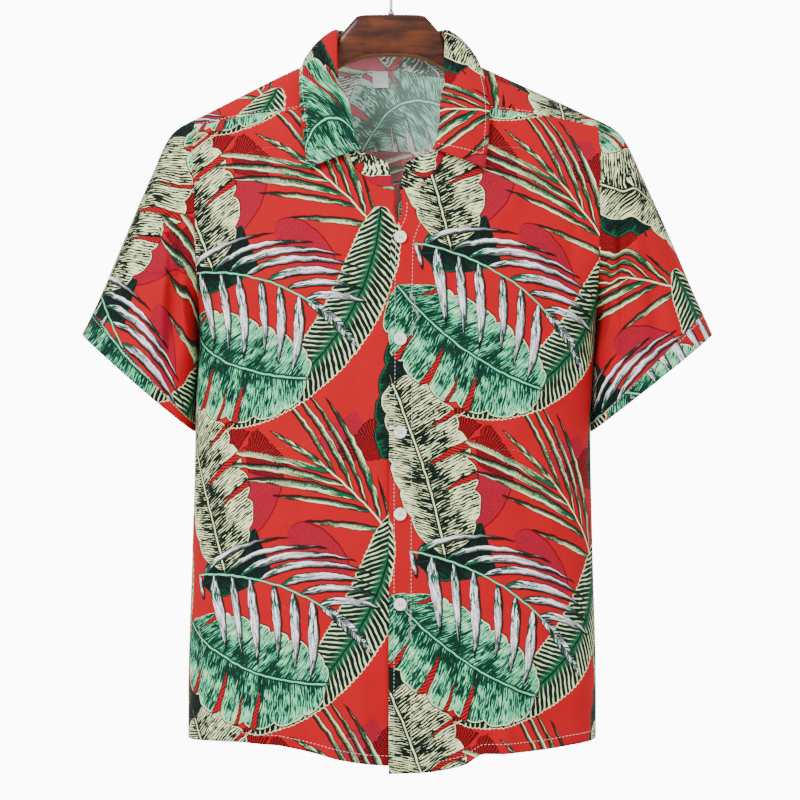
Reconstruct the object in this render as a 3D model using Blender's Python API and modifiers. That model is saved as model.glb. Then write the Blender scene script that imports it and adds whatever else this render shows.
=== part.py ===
"""A short-sleeved hawaiian shirt that hangs on its wooden hanger.

Metres, +Z up. The shirt's front faces -Y. The origin is the inside top of the hanger's
hook, where a rail or a peg holds it. Heights are given as a distance below that point,
called down, so that every table runs from the shoulders to the hem.

The cloth hangs from the shoulder ridge along the hanger. Front and back are worked out by
how far they stand from the plane of the hanger (depth), and each cut piece is an open grid
on them, or on rings round a sleeve, given a wall by Solidify.
"""
import math

import bmesh
import bpy
import numpy as np
from mathutils import Vector

NAME = "hawaiian_shirt_on_hanger"

# Cloth
WALL = 0.0015             # thickness of the cloth
SEAM = 0.0005             # gap between two pieces that meet edge to edge
SLEEVE_SEAM = 0.0009      # gap at the armhole, where the pieces meet at an angle
LAP_LIFT = 0.0026         # how far the upper front stands off the lower one
LAP_WIDTH = 0.024         # half width over which it keeps that distance
LAP_FADE = 0.035          # and the width over which it comes back

# Shoulders and body
NECK_DOWN = 0.108         # shoulder ridge beside the neck
NECK_HALF = 0.070         # half width of the neck on the ridge
NECK_ROUND = 0.030        # rounds the ridge where it would peak at the middle
SHOULDER_SLOPE = 0.49
SHOULDER_DOWN = 0.170     # end of the shoulder, top of the armhole
ARMPIT_DOWN = 0.397
HEM_DOWN = 0.785          # hem at the side seams
FRONT_DEPTH = 0.088       # how far the front stands off the hanger's plane
BACK_DEPTH = 0.080
HANG_LENGTH = 0.085       # how fast the cloth falls away from the ridge
HANG_POWER = 0.8
ARMHOLE_DEPTH = 0.048
SIDE_POWER = 2.6          # squareness of the body's round sides

# Yoke, collar and label
BACK_SEAM_DOWN = 0.200
YOKE_SPREAD = 0.062       # the yoke's columns fan out round the neck
YOKE_FAN = 0.70
YOKE_LEAD = 0.50
LEAF_FIRST_COLUMN = 2     # the column of the stand at which the collar leaf begins
LEAF_GAP = 0.0024         # between stand and leaf at the fold
LEAF_BULGE = 0.0040       # how far the folded leaf rounds out
LABEL_SIZE = 0.016
LABEL_WALL = 0.0005
LABEL_GAP = 0.0008
LABEL_X = -0.011
LABEL_DOWN = 0.1255

# Buttons
BUTTON_RADIUS = 0.0062
BUTTON_THICK = 0.0026
BUTTON_X = 0.0093
BUTTONS_DOWN = (0.2925, 0.3911, 0.4809, 0.5598, 0.6466)

# Sleeves
SLEEVE_DEPTH = 0.050      # half depth of the tube at its middle
CUFF_DEPTH = 0.046
BAND_SHARE = 0.90         # where the sewn-on band begins, as a share of the length
SLEEVE_INNER_X = 0.1990   # the inner line hangs beside the body
CUFF_INNER_X = 0.2005
CUFF_INNER_DOWN = 0.482
SLEEVE_OUTER = 0.246      # length along the outer line, and along the inner one
SLEEVE_INNER = 0.085

# Hanger
WOOD_TOP_DOWN = 0.065
HANGER_CLEARANCE = 0.0019
BLOCK_ROUND = 0.50        # how round the wood's section is: 1 is an ellipse
ARM_ROUND = 0.85
CROOK_RADIUS = 0.0190     # inside radius of the hook's crook
WIRE_RADIUS = 0.0017
FERRULE_RADIUS = 0.0032
FERRULE_HEIGHT = 0.0032
TOUCH = 0.0003            # gap between hard pieces that touch

# Grids
FRONT_COLUMNS = 12
EDGE_ROWS = 18            # rows of a front below its neck corner
NECK_COLUMNS = 9          # columns from the yoke's front seam to the centre back
YOKE_FRONT_ROWS = 3
YOKE_BACK_ROWS = 5
BACK_ROWS = 19
ROW_CROWDING = 1.3
RING_POINTS = 22
SLEEVE_RINGS = 8
HANGER_RING_POINTS = 14


def table(names, rows):
    """A short table with named columns, as arrays."""
    return dict(zip(names.split(), np.array(rows, dtype=float).T))


# The upper shirt hangs a little to +X of the hanger.
SWAY = table("down x", (
    (0.125, 0.0000),
    (0.180, 0.0050),
    (0.360, 0.0068),
    (0.480, 0.0020),
    (0.830, 0.0010)))

# Half width at the armhole, and at the side seam below it.
REACH = table("down x", (
    (0.100, 0.2005),
    (0.180, 0.2005),
    (0.250, 0.1985),
    (0.397, 0.1965),
    (0.490, 0.1965),
    (0.600, 0.1993),
    (0.740, 0.2030),
    (0.830, 0.2030)))

# Half of the neckline from the front corner to the centre back: half width, and height
# above (-) or behind (+) the shoulder ridge, measured down from it.
NECKLINE = table("share x over", (
    (0.00, 0.0030, -0.1610),
    (0.05, 0.0175, -0.1550),
    (0.12, 0.0330, -0.1395),
    (0.21, 0.0460, -0.1165),
    (0.33, 0.0570, -0.0835),
    (0.43, 0.0630, -0.0560),
    (0.62, 0.0700, 0.0000),
    (0.70, 0.0655, 0.0125),
    (0.80, 0.0500, 0.0215),
    (0.90, 0.0270, 0.0272),
    (1.00, 0.0000, 0.0286)))
# Columns along the neckline of a front; the last is where the yoke's front seam meets it.
FRONT_NECK = np.array((0.0, 0.05, 0.12, 0.18, 0.24, 0.30, 0.365, 0.43))

# Top edge of the collar stand, where the leaf folds over it.
FOLD = table("share x y down", (
    (0.00, 0.0090, -0.0690, 0.2195),
    (0.05, 0.0210, -0.0680, 0.2137),
    (0.12, 0.0365, -0.0665, 0.2070),
    (0.21, 0.0425, -0.0625, 0.1870),
    (0.33, 0.0470, -0.0490, 0.1554),
    (0.43, 0.0540, -0.0350, 0.1340),
    (0.62, 0.0545, -0.0040, 0.0825),
    (0.70, 0.0510, 0.0110, 0.0810),
    (0.80, 0.0400, 0.0210, 0.0800),
    (0.90, 0.0220, 0.0275, 0.0800),
    (1.00, 0.0000, 0.0300, 0.0800)))

# Outer edge of the collar leaf, from the collar's point to the centre back.
LEAF_EDGE = table("share x y down", (
    (0.12, 0.0863, -0.0665, 0.2250),
    (0.21, 0.0905, -0.0560, 0.1900),
    (0.33, 0.0927, -0.0450, 0.1600),
    (0.43, 0.0920, -0.0325, 0.1420),
    (0.62, 0.0850, -0.0020, 0.1100),
    (0.70, 0.0790, 0.0200, 0.1150),
    (0.80, 0.0630, 0.0315, 0.1260),
    (0.90, 0.0340, 0.0370, 0.1270),
    (1.00, 0.0000, 0.0395, 0.1270)))

# Front edges of the two fronts, outwards from the middle of the shirt (+ away from it).
FRONT_EDGE = table("down upper lower", (
    (0.2464, 0.0030, 0.0030),
    (0.2530, 0.0043, 0.0012),
    (0.2637, 0.0047, 0.0024),
    (0.2725, 0.0032, 0.0010),
    (0.2850, -0.0022, -0.0080),
    (0.3005, -0.0066, -0.0150),
    (0.3500, -0.0075, -0.0165),
    (0.4800, -0.0035, -0.0190),
    (0.8300, -0.0030, -0.0190)))

# Hem of the two fronts: they dip towards the front edges.
HEM = table("x upper lower", (
    (-0.020, 0.8100, 0.8030),
    (0.000, 0.8100, 0.8025),
    (0.025, 0.8090, 0.8005),
    (0.050, 0.8075, 0.7974),
    (0.070, 0.8030, 0.7930),
    (0.090, 0.7915, 0.7880),
    (0.115, 0.7915, 0.7835),
    (0.145, 0.7905, 0.7820),
    (0.175, 0.7870, 0.7830),
    (0.205, 0.7850, 0.7850)))

# Front seam of the yoke, from the neckline to the armhole.
YOKE_SEAM = table("x down", (
    (0.060, 0.1605),
    (0.093, 0.1636),
    (0.143, 0.1686),
    (0.2005, 0.1790)))

# The largest soft folds of the body: a trough is negative. side is +1 on the front, -1 on
# the back, x and down the middle of the fold, lean its slope across.
BODY_FOLDS = table("side x down lean width length rise", (
    (1, 0.100, 0.770, 0.10, 0.017, 0.110, 0.0060),
    (1, 0.062, 0.790, -0.10, 0.018, 0.120, -0.0060),
    (1, -0.030, 0.780, 0.15, 0.016, 0.110, 0.0055),
    (1, -0.075, 0.790, -0.10, 0.020, 0.130, -0.0050),
    (1, -0.125, 0.780, 0.05, 0.020, 0.120, 0.0045),
    (1, 0.150, 0.790, 0.05, 0.018, 0.120, -0.0050),
    (1, 0.150, 0.360, -0.55, 0.020, 0.100, -0.0050),
    (1, -0.150, 0.370, 0.50, 0.020, 0.110, -0.0055),
    (-1, 0.110, 0.740, 0.05, 0.024, 0.220, 0.0070),
    (-1, 0.050, 0.760, -0.05, 0.022, 0.230, -0.0065),
    (-1, -0.010, 0.740, 0.05, 0.026, 0.260, 0.0060),
    (-1, -0.075, 0.770, -0.05, 0.022, 0.200, -0.0065),
    (-1, -0.130, 0.750, 0.05, 0.022, 0.180, 0.0060),
    (-1, 0.150, 0.350, -0.50, 0.020, 0.110, -0.0055),
    (-1, -0.145, 0.360, 0.50, 0.020, 0.100, -0.0050)))

# Outer line of a sleeve from the shoulder to the cuff.
SLEEVE_LINE = table("share x down", (
    (0.000, 0.2014, 0.1700),
    (0.103, 0.2210, 0.1850),
    (0.176, 0.2310, 0.2000),
    (0.312, 0.2460, 0.2300),
    (0.579, 0.2725, 0.2900),
    (0.845, 0.2980, 0.3500),
    (1.000, 0.3143, 0.3845)))

# Folds that hang from the sleeve cap. sleeve is +1 at +X; face is +1 on the front.
SLEEVE_FOLDS = table("sleeve face x down lean width length rise", (
    (1, 1, 0.2230, 0.280, -0.05, 0.007, 0.075, -0.0075),
    (1, 1, 0.2480, 0.345, 0.20, 0.010, 0.045, -0.0065),
    (1, 1, 0.2360, 0.300, 0.10, 0.009, 0.080, 0.0040),
    (-1, 1, 0.2170, 0.330, 0.05, 0.007, 0.090, -0.0080),
    (-1, 1, 0.2400, 0.300, 0.25, 0.010, 0.060, -0.0045),
    (-1, 1, 0.2290, 0.350, 0.20, 0.008, 0.080, 0.0045),
    (1, -1, 0.2200, 0.320, 0.00, 0.008, 0.085, -0.0070),
    (1, -1, 0.2450, 0.320, 0.25, 0.010, 0.060, -0.0050),
    (-1, -1, 0.2220, 0.300, -0.05, 0.008, 0.080, -0.0070),
    (-1, -1, 0.2460, 0.340, 0.25, 0.010, 0.060, 0.0050)))

# One half of the hanger: a flat block under the hook, and an arm along the shoulder ridge.
HANGER = table("x top bottom half_thick", (
    (0.000, 0.0650, 0.1065, 0.0085),
    (0.014, 0.0650, 0.1068, 0.0085),
    (0.027, 0.0652, 0.1085, 0.0085),
    (0.034, 0.0665, 0.1110, 0.0084),
    (0.0395, 0.0725, 0.1132, 0.0082),
    (0.046, 0.0800, 0.1160, 0.0080),
    (0.053, 0.0885, 0.1195, 0.0078),
    (0.059, 0.1000, 0.1235, 0.0070),
    (0.066, 0.1135, 0.1280, 0.0064),
    (0.074, 0.1205, 0.1330, 0.0062),
    (0.088, 0.1240, 0.1400, 0.0062),
    (0.105, 0.1255, 0.1485, 0.0062),
    (0.125, 0.1350, 0.1570, 0.0060),
    (0.145, 0.1445, 0.1645, 0.0058),
    (0.165, 0.1540, 0.1710, 0.0056),
    (0.182, 0.1620, 0.1765, 0.0054),
    (0.1900, 0.1665, 0.1785, 0.0048),
    (0.1935, 0.1700, 0.1770, 0.0034)))
RIDGE_FROM = 0.095        # beyond this x the hanger's top is worked out from the ridge


def smooth(x, xs, ys):
    """A smooth curve through a table's rows that never overshoots them."""
    x = np.clip(x, xs[0], xs[-1])
    step = np.diff(xs)
    slope = np.diff(ys) / step
    product = slope[:-1] * slope[1:]
    total = slope[:-1] + slope[1:]
    same_way = product > 0
    middle = np.where(same_way, 2 * product / np.where(same_way, total, 1), 0)
    tangent = np.concatenate(([slope[0]], middle, [slope[-1]]))
    i = np.clip(np.searchsorted(xs, x) - 1, 0, len(xs) - 2)
    h = step[i]
    t = (x - xs[i]) / h
    start = (1 + 2 * t) * (1 - t) ** 2 * ys[i] + t * (1 - t) ** 2 * h * tangent[i]
    end = t * t * (3 - 2 * t) * ys[i + 1] + t * t * (t - 1) * h * tangent[i + 1]
    return start + end


def ease(value, start, end):
    """0 before start, 1 past end, and a smooth step between them."""
    t = np.clip((value - start) / (end - start), 0, 1)
    return t * t * (3 - 2 * t)


def sway(down):
    return smooth(down, SWAY["down"], SWAY["x"])


def reach(down):
    return smooth(down, REACH["down"], REACH["x"])


def ridge(x):
    """Height of the shoulder ridge, as a distance below the hook."""
    run = np.hypot(x, NECK_ROUND) - math.hypot(NECK_HALF, NECK_ROUND)
    return NECK_DOWN + SHOULDER_SLOPE * run


def bumps(rows, chosen, x, down):
    """The folds of a table that are chosen, each a soft ridge or trough along a line."""
    total = np.zeros(np.broadcast(x, down).shape)
    for i in np.flatnonzero(chosen):
        along = down - rows["down"][i]
        across = x - rows["x"][i] - rows["lean"][i] * along
        shape = np.exp(-(across / rows["width"][i]) ** 2 - (along / rows["length"][i]) ** 2)
        total += rows["rise"][i] * shape
    return total


def depth(x, down, side):
    """How far the cloth stands off the hanger's plane, on the front (+1) or back (-1).

    It falls away from the shoulder ridge, bends back to the armhole's depth at the sides
    of the chest, and below the armpit rounds off to the side seam.
    """
    below = np.maximum(down - ridge(x), 0)
    full = FRONT_DEPTH if side > 0 else BACK_DEPTH
    hang = full * (1 - np.exp(-(below / HANG_LENGTH) ** HANG_POWER))
    u = np.clip(np.abs(x) / reach(down), 0, 1)
    pull = u ** 3 * ease(down, SHOULDER_DOWN, SHOULDER_DOWN + 0.070)
    chest = hang * (1 - pull) + ARMHOLE_DEPTH * pull
    belly = hang * (1 - u ** SIDE_POWER) ** (1 / SIDE_POWER)
    closed = ease(down, ARMPIT_DOWN - 0.100, ARMPIT_DOWN)
    flat = chest * (1 - closed) + belly * closed
    folds = bumps(BODY_FOLDS, BODY_FOLDS["side"] == side, x, down)
    return flat + folds * (1 - u ** 6) * ease(below, 0.02, 0.08)


def on_body(x, down, side, lift=0.0):
    """Points of the front or the back, lift further out."""
    away = np.maximum(depth(x, down, side) + lift, SEAM / 2)
    return np.stack([x + sway(down), -side * away, -down + 0 * x], axis=-1)


def over_ridge(x, over):
    """Points of the yoke: over runs from the front (-), across the ridge, down the back (+)."""
    down = ridge(x) + np.abs(over)
    front = depth(x, down, 1)
    back = depth(x, down, -1)
    return np.stack([x + sway(down), np.where(over < 0, -front, back), -down], axis=-1)


def signed_power(value, power):
    return np.sign(value) * np.abs(value) ** power


# ---- Making objects

def material(name, colour, roughness, metallic=0.0):
    made = bpy.data.materials.new(name)
    made.use_nodes = True
    shader = made.node_tree.nodes["Principled BSDF"]
    shader.inputs["Base Color"].default_value = (*colour, 1.0)
    shader.inputs["Roughness"].default_value = roughness
    shader.inputs["Metallic"].default_value = metallic
    return made


def add_object(name, data, look, collection):
    made = bpy.data.objects.new(name, data)
    data.materials.append(look)
    collection.objects.link(made)
    return made


def grid_mesh(name, points, closed=False, capped=False):
    """A grid primitive whose points are moved to rows x columns x 3 points."""
    rows, columns = points.shape[:2]
    mesh = bpy.data.meshes.new(name)
    bm = bmesh.new()
    bmesh.ops.create_grid(bm, x_segments=columns - 1, y_segments=rows - 1, size=1.0)
    bm.verts.ensure_lookup_table()
    for vert, place in zip(bm.verts, points.reshape(-1, 3)):
        vert.co = Vector(place)
    if closed:
        bmesh.ops.remove_doubles(bm, verts=bm.verts, dist=1e-6)
    if capped:
        rim = [edge for edge in bm.edges if edge.is_boundary]
        bmesh.ops.holes_fill(bm, edges=rim, sides=0)
        bmesh.ops.recalc_face_normals(bm, faces=bm.faces)
    bm.to_mesh(mesh)
    bm.free()
    mesh.shade_smooth()
    return mesh


def cloth(name, points, look, collection, closed=False, wall=WALL):
    """One cut piece: an open grid with a wall."""
    piece = add_object(name, grid_mesh(name, points, closed), look, collection)
    solidify = piece.modifiers.new("wall", "SOLIDIFY")
    solidify.thickness = wall
    solidify.offset = 0.0
    solidify.use_even_offset = True
    return piece


# ---- Cut pieces

def column_shares():
    """Columns from the front edge to the side, closer together at the side."""
    return np.sin(np.linspace(0, 1, FRONT_COLUMNS + 1) * math.pi / 2)


def row_shares(rows):
    return np.linspace(0, 1, rows + 1)[:, None] ** ROW_CROWDING


def neck_column(shares):
    """Half width and height of the neckline at some shares of it."""
    x = smooth(shares, NECKLINE["share"], NECKLINE["x"])
    over = smooth(shares, NECKLINE["share"], NECKLINE["over"])
    return x, over


def seam_points():
    """The seam of yoke and front, from the neckline to the armhole."""
    start = neck_column(FRONT_NECK[-1:])[0]
    x = start + (reach(SHOULDER_DOWN) - start) * column_shares()
    return x, smooth(x, YOKE_SEAM["x"], YOKE_SEAM["down"])


def front_grid(which):
    """x and down of a front. Its rows start on the neckline, then on the front edge."""
    across = column_shares()
    neck_x, neck_over = neck_column(FRONT_NECK[::-1])
    neck_down = ridge(neck_x) - neck_over
    corner = neck_down[-1]
    crowded = row_shares(EDGE_ROWS)[1:]
    edge_end = smooth(0.0, HEM["x"], HEM[which])
    edge_down = corner + (edge_end - corner) * crowded
    edge_x = smooth(edge_down, FRONT_EDGE["down"], FRONT_EDGE[which])
    start_x = np.concatenate((neck_x[:, None], edge_x))
    start_down = np.concatenate((neck_down[:, None], edge_down))
    seam_x, seam_down = seam_points()
    side_top = seam_down[-1] + (corner - seam_down[-1]) * np.linspace(0, 1, len(neck_x))
    side_down = np.concatenate((side_top[:, None], corner + (HEM_DOWN - corner) * crowded))
    down = start_down + (side_down - start_down) * across
    x = start_x + (reach(down) - start_x) * across
    hem = smooth(x[-1], HEM["x"], HEM[which])
    low = np.clip((start_down - corner) / (edge_end - corner), 0, 1)
    high = np.clip(1 - (start_down - neck_down[0]) / (corner - neck_down[0]), 0, 1)
    return x, down + (hem - down[-1]) * low + (seam_down + SEAM / 2 - down[0]) * high


def front(name, hand, which, look, collection):
    """hand is +1 for the front at +X, which laps over the other one."""
    x, down = front_grid(which)
    lift = LAP_LIFT * (1 - ease(x, LAP_WIDTH, LAP_WIDTH + LAP_FADE)) if hand > 0 else 0.0
    return cloth(name, on_body(hand * x, down, 1, lift), look, collection)


def neck_shares():
    """Columns along the neckline from the yoke's front seam to the centre back."""
    return np.linspace(FRONT_NECK[-1], 1, NECK_COLUMNS + 1)


def yoke_columns():
    """Start of each yoke column on the front seam and neckline, and its end on the back."""
    seam_x, seam_down = seam_points()
    neck_x, neck_over = neck_column(neck_shares()[1:])
    x = np.concatenate((seam_x[::-1], neck_x))
    over = np.concatenate((ridge(seam_x[::-1]) - seam_down[::-1], neck_over))
    seam_end = seam_x + YOKE_SPREAD * (1 - column_shares())
    neck_end = seam_end[0] * np.linspace(1, 0, NECK_COLUMNS + 1)[1:] ** YOKE_FAN
    end_x = np.concatenate((seam_end[::-1], neck_end))
    mirror = slice(-2, None, -1)
    return (np.concatenate((x, -x[mirror])), np.concatenate((over, over[mirror])),
            np.concatenate((end_x, -end_x[mirror])))


def yoke(look, collection):
    """Rows crowd at the shoulder ridge, and beyond the neck one of them runs along it."""
    start_x, start_over, end_x = yoke_columns()
    power = 2 / 3
    first = signed_power(start_over + SEAM / 2, power)
    last = signed_power(BACK_SEAM_DOWN - SEAM / 2 - ridge(end_x), power)
    rows = YOKE_FRONT_ROWS + YOKE_BACK_ROWS
    t = np.linspace(0, 1, rows + 1)[:, None]
    over = first + (last - first) * t
    split = np.concatenate((first * np.linspace(1, 0, YOKE_FRONT_ROWS + 1)[:, None],
                            last * np.linspace(0, 1, YOKE_BACK_ROWS + 1)[1:, None]))
    shoulder = np.arange(len(end_x)) <= FRONT_COLUMNS
    over = signed_power(np.where(shoulder | shoulder[::-1], split, over), 1 / power)
    x = start_x + (end_x - start_x) * ((over - over[0]) / (over[-1] - over[0])) ** YOKE_LEAD
    return cloth("yoke", over_ridge(x, over), look, collection)


def back(look, collection):
    end_x = yoke_columns()[2]
    share = end_x / reach(BACK_SEAM_DOWN)
    top = BACK_SEAM_DOWN + SEAM / 2
    down = top + (HEM_DOWN - top) * row_shares(BACK_ROWS) + 0 * share
    return cloth("back", on_body(reach(down) * share, down, -1), look, collection)


def sleeve_points(hand, shares, gap=0.0):
    """Rings from the armhole (share 0) to the cuff (share 1), each moved gap along."""
    angle = np.linspace(0, 2 * math.pi, RING_POINTS + 1)
    length = SLEEVE_INNER + (SLEEVE_OUTER - SLEEVE_INNER) * (1 + np.cos(angle)) / 2
    t = np.clip(shares[:, None] + gap / length, 0, 1)
    outer_x = smooth(t, SLEEVE_LINE["share"], SLEEVE_LINE["x"])
    outer_down = smooth(t, SLEEVE_LINE["share"], SLEEVE_LINE["down"])
    inner_x = SLEEVE_INNER_X + (CUFF_INNER_X - SLEEVE_INNER_X) * t
    inner_down = ARMPIT_DOWN - SEAM + (CUFF_INNER_DOWN - ARMPIT_DOWN) * t
    along = (1 + np.cos(angle)) / 2
    x = inner_x + (outer_x - inner_x) * along
    down = inner_down + (outer_down - inner_down) * along
    face = np.where(angle < math.pi, 1, -1)
    armhole = np.where(face > 0, depth(reach(down), down, 1), depth(reach(down), down, -1))
    seam_x = reach(down) + SLEEVE_SEAM + (SLEEVE_INNER_X - reach(ARMPIT_DOWN)
                                          - SLEEVE_SEAM) * ease(down, 0.30, 0.39)
    start = 1 - ease(t, 0.0, 0.30)
    x = x + (seam_x - x) * start * (1 - ease(t, 0.0, 0.12))
    half = SLEEVE_DEPTH + (CUFF_DEPTH - SLEEVE_DEPTH) * ease(t, 0.4, 1.0)
    tube = half * np.abs(np.sin(angle)) ** 0.85
    away = armhole * start + tube * (1 - start)
    edge = np.abs(np.sin(angle)) ** 0.5
    for side in (1, -1):
        chosen = (SLEEVE_FOLDS["sleeve"] == hand) & (SLEEVE_FOLDS["face"] == side)
        fold = bumps(SLEEVE_FOLDS, chosen, x, down) * ease(t, 0.0, 0.1)
        away = away + np.where(face == side, fold, 0) * edge
    away[:, 0] = away[:, -1]
    place = np.stack([hand * x + sway(down), -face * away, -down], axis=-1)
    place[:, -1] = place[:, 0]
    return place


def sleeve(hand, word, look, collection):
    rings = sleeve_points(hand, np.linspace(0, BAND_SHARE, SLEEVE_RINGS + 1))
    cloth("sleeve_" + word, rings, look, collection, closed=True)
    band = sleeve_points(hand, np.linspace(BAND_SHARE, 1, 3), SEAM)
    cloth("sleeve_band_" + word, band, look, collection, closed=True)


def mirrored(half):
    """A row of points from one front end round the back to the other."""
    other = half[..., -2::-1, :] * np.array([-1.0, 1.0, 1.0])
    return np.concatenate((half, other), axis=-2)


def swayed(points):
    moved = points.copy()
    moved[..., 0] += sway(-points[..., 2])
    return moved


def unit(vectors):
    return vectors / np.linalg.norm(vectors, axis=-1, keepdims=True)


def neck_points(shares):
    """The neckline, before the sway."""
    x, over = neck_column(shares)
    points = over_ridge(x, over)
    points[..., 0] = x
    return points


def stand_shares():
    return np.concatenate((FRONT_NECK, neck_shares()[1:]))


def edge_points(rows, shares):
    x = smooth(shares, rows["share"], rows["x"])
    y = smooth(shares, rows["share"], rows["y"])
    down = smooth(shares, rows["share"], rows["down"])
    return np.stack([x, y, -down], axis=-1)


def collar_stand(look, collection):
    """A ribbon from the neckline up to the fold, its lower edge clear of the other pieces."""
    shares = stand_shares()
    low = mirrored(neck_points(shares))
    high = mirrored(edge_points(FOLD, shares))
    along = unit(np.gradient(low, axis=0))
    up = high - low
    square = unit(up - along * np.sum(up * along, axis=-1, keepdims=True))
    low = low + square * (WALL / 2 + SEAM)
    t = np.array([0.0, 0.5, 1.0])[:, None, None]
    points = low + (high - low) * t
    return cloth("collar_stand", swayed(points), look, collection)


def collar_leaf(look, collection):
    """The leaf falls from the fold to its own edge, and rounds out between them."""
    shares = stand_shares()[LEAF_FIRST_COLUMN:]
    fold = mirrored(edge_points(FOLD, shares))
    edge = mirrored(edge_points(LEAF_EDGE, shares))
    out = unit(np.cross(edge - fold, np.gradient(fold, axis=0)))
    t = np.linspace(0, 1, 5)[:, None, None]
    bulge = LEAF_BULGE * np.sin(math.pi * t) ** 0.7
    points = fold + (edge - fold) * t + out * (LEAF_GAP * (1 - t) + bulge)
    return cloth("collar_leaf", swayed(points), look, collection)


def neck_label(look, collection):
    span = np.linspace(-LABEL_SIZE / 2, LABEL_SIZE / 2, 4)
    x = LABEL_X + span[None, :] + 0 * span[:, None]
    down = LABEL_DOWN + span[:, None] + 0 * x
    points = on_body(x, down, -1, -(WALL + LABEL_WALL) / 2 - LABEL_GAP)
    return cloth("neck_label", points, look, collection, wall=LABEL_WALL)


# ---- Buttons

def button(index, down, look, collection):
    """A turned disc with a raised rim, square to the cloth under it."""
    half = BUTTON_THICK / 2
    profile = ((0.0, half * 0.45), (BUTTON_RADIUS * 0.62, half * 0.45),
               (BUTTON_RADIUS * 0.78, half), (BUTTON_RADIUS * 0.92, half),
               (BUTTON_RADIUS, half * 0.35), (BUTTON_RADIUS * 0.94, -half), (0.0, -half))
    name = "button_%d" % index
    mesh = bpy.data.meshes.new(name)
    edges = [(i, i + 1) for i in range(len(profile) - 1)]
    mesh.from_pydata([(r, 0.0, z) for r, z in profile], edges, [])
    piece = add_object(name, mesh, look, collection)
    screw = piece.modifiers.new("turn", "SCREW")
    screw.steps = 16
    screw.render_steps = 16
    screw.use_merge_vertices = True
    screw.merge_threshold = 0.00001
    screw.use_smooth_shade = True
    x = np.array([BUTTON_X - sway(down)])
    near = 0.004
    spots = [on_body(x + dx, np.array([down + dd]), 1, LAP_LIFT)[0]
             for dx, dd in ((-near, 0), (near, 0), (0, near), (0, -near), (0, 0))]
    outward = Vector(np.cross(spots[1] - spots[0], spots[3] - spots[2])).normalized()
    seat = WALL / 2 + TOUCH * 1.5 + half
    piece.location = Vector(spots[4]) + outward * seat
    piece.rotation_euler = outward.to_track_quat("Z", "Y").to_euler()
    return piece


# ---- Hanger

def hanger(look, collection):
    """A loft of rounded sections along the hanger's length."""
    angle = np.linspace(0, 2 * math.pi, HANGER_RING_POINTS + 1)
    x = np.concatenate((-HANGER["x"][:0:-1], HANGER["x"]))
    roundness = BLOCK_ROUND + (ARM_ROUND - BLOCK_ROUND) * ease(np.abs(x), 0.040, 0.070)
    across = signed_power(np.cos(angle), roundness[:, None])
    up = signed_power(np.sin(angle), roundness[:, None])
    top, bottom, half = (np.concatenate((HANGER[key][:0:-1], HANGER[key]))[:, None]
                         for key in ("top", "bottom", "half_thick"))
    wide = np.abs(x)[:, None]
    under_ridge = ridge(wide + sway(ridge(wide))) + WALL / 2 + HANGER_CLEARANCE
    top = np.where(wide > RIDGE_FROM, np.maximum(top, under_ridge), top)
    middle = (top + bottom) / 2
    tall = (bottom - top) / 2
    points = np.stack(np.broadcast_arrays(x[:, None], half * across, -middle + tall * up),
                      axis=-1).copy()
    points[:, -1] = points[:, 0]
    mesh = grid_mesh("hanger", points, closed=True, capped=True)
    return add_object("hanger", mesh, look, collection)


def hook(look, collection):
    """Stem, bend and crook of one wire; the crook's inside top is the origin."""
    radius = CROOK_RADIUS + WIRE_RADIUS
    centre = -CROOK_RADIUS
    start = math.radians(-52)
    end = math.radians(200)
    stem_foot = -WOOD_TOP_DOWN + TOUCH + FERRULE_HEIGHT + TOUCH
    join = (radius * math.cos(start), centre + radius * math.sin(start))
    route = [(0.0, stem_foot), (0.0, stem_foot + 0.006), (0.0, stem_foot + 0.011)]
    for t in (0.25, 0.5, 0.75):
        s = 1 - t
        bend_x = join[0] * (2 * s * t * 0.0 + t * t)
        bend_z = s * s * route[2][1] + 2 * s * t * (route[2][1] + 0.006) + t * t * join[1]
        route.append((bend_x, bend_z))
    for angle in np.linspace(start, end, 20):
        route.append((radius * math.cos(angle), centre + radius * math.sin(angle)))
    curve = bpy.data.curves.new("hanger_hook", "CURVE")
    curve.dimensions = "3D"
    curve.bevel_depth = WIRE_RADIUS
    curve.bevel_resolution = 2
    curve.use_fill_caps = True
    spline = curve.splines.new("POLY")
    spline.points.add(len(route) - 1)
    for point, (x, z) in zip(spline.points, route):
        point.co = (x, 0.0, z, 1.0)
    return add_object("hanger_hook", curve, look, collection)


def ferrule(look, collection):
    mesh = bpy.data.meshes.new("hook_ferrule")
    bm = bmesh.new()
    bmesh.ops.create_cone(bm, cap_ends=True, segments=20, radius1=FERRULE_RADIUS,
                          radius2=FERRULE_RADIUS * 0.82, depth=FERRULE_HEIGHT)
    bm.to_mesh(mesh)
    bm.free()
    piece = add_object("hook_ferrule", mesh, look, collection)
    piece.location = (0.0, 0.0, -WOOD_TOP_DOWN + TOUCH + FERRULE_HEIGHT / 2)
    return piece


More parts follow.
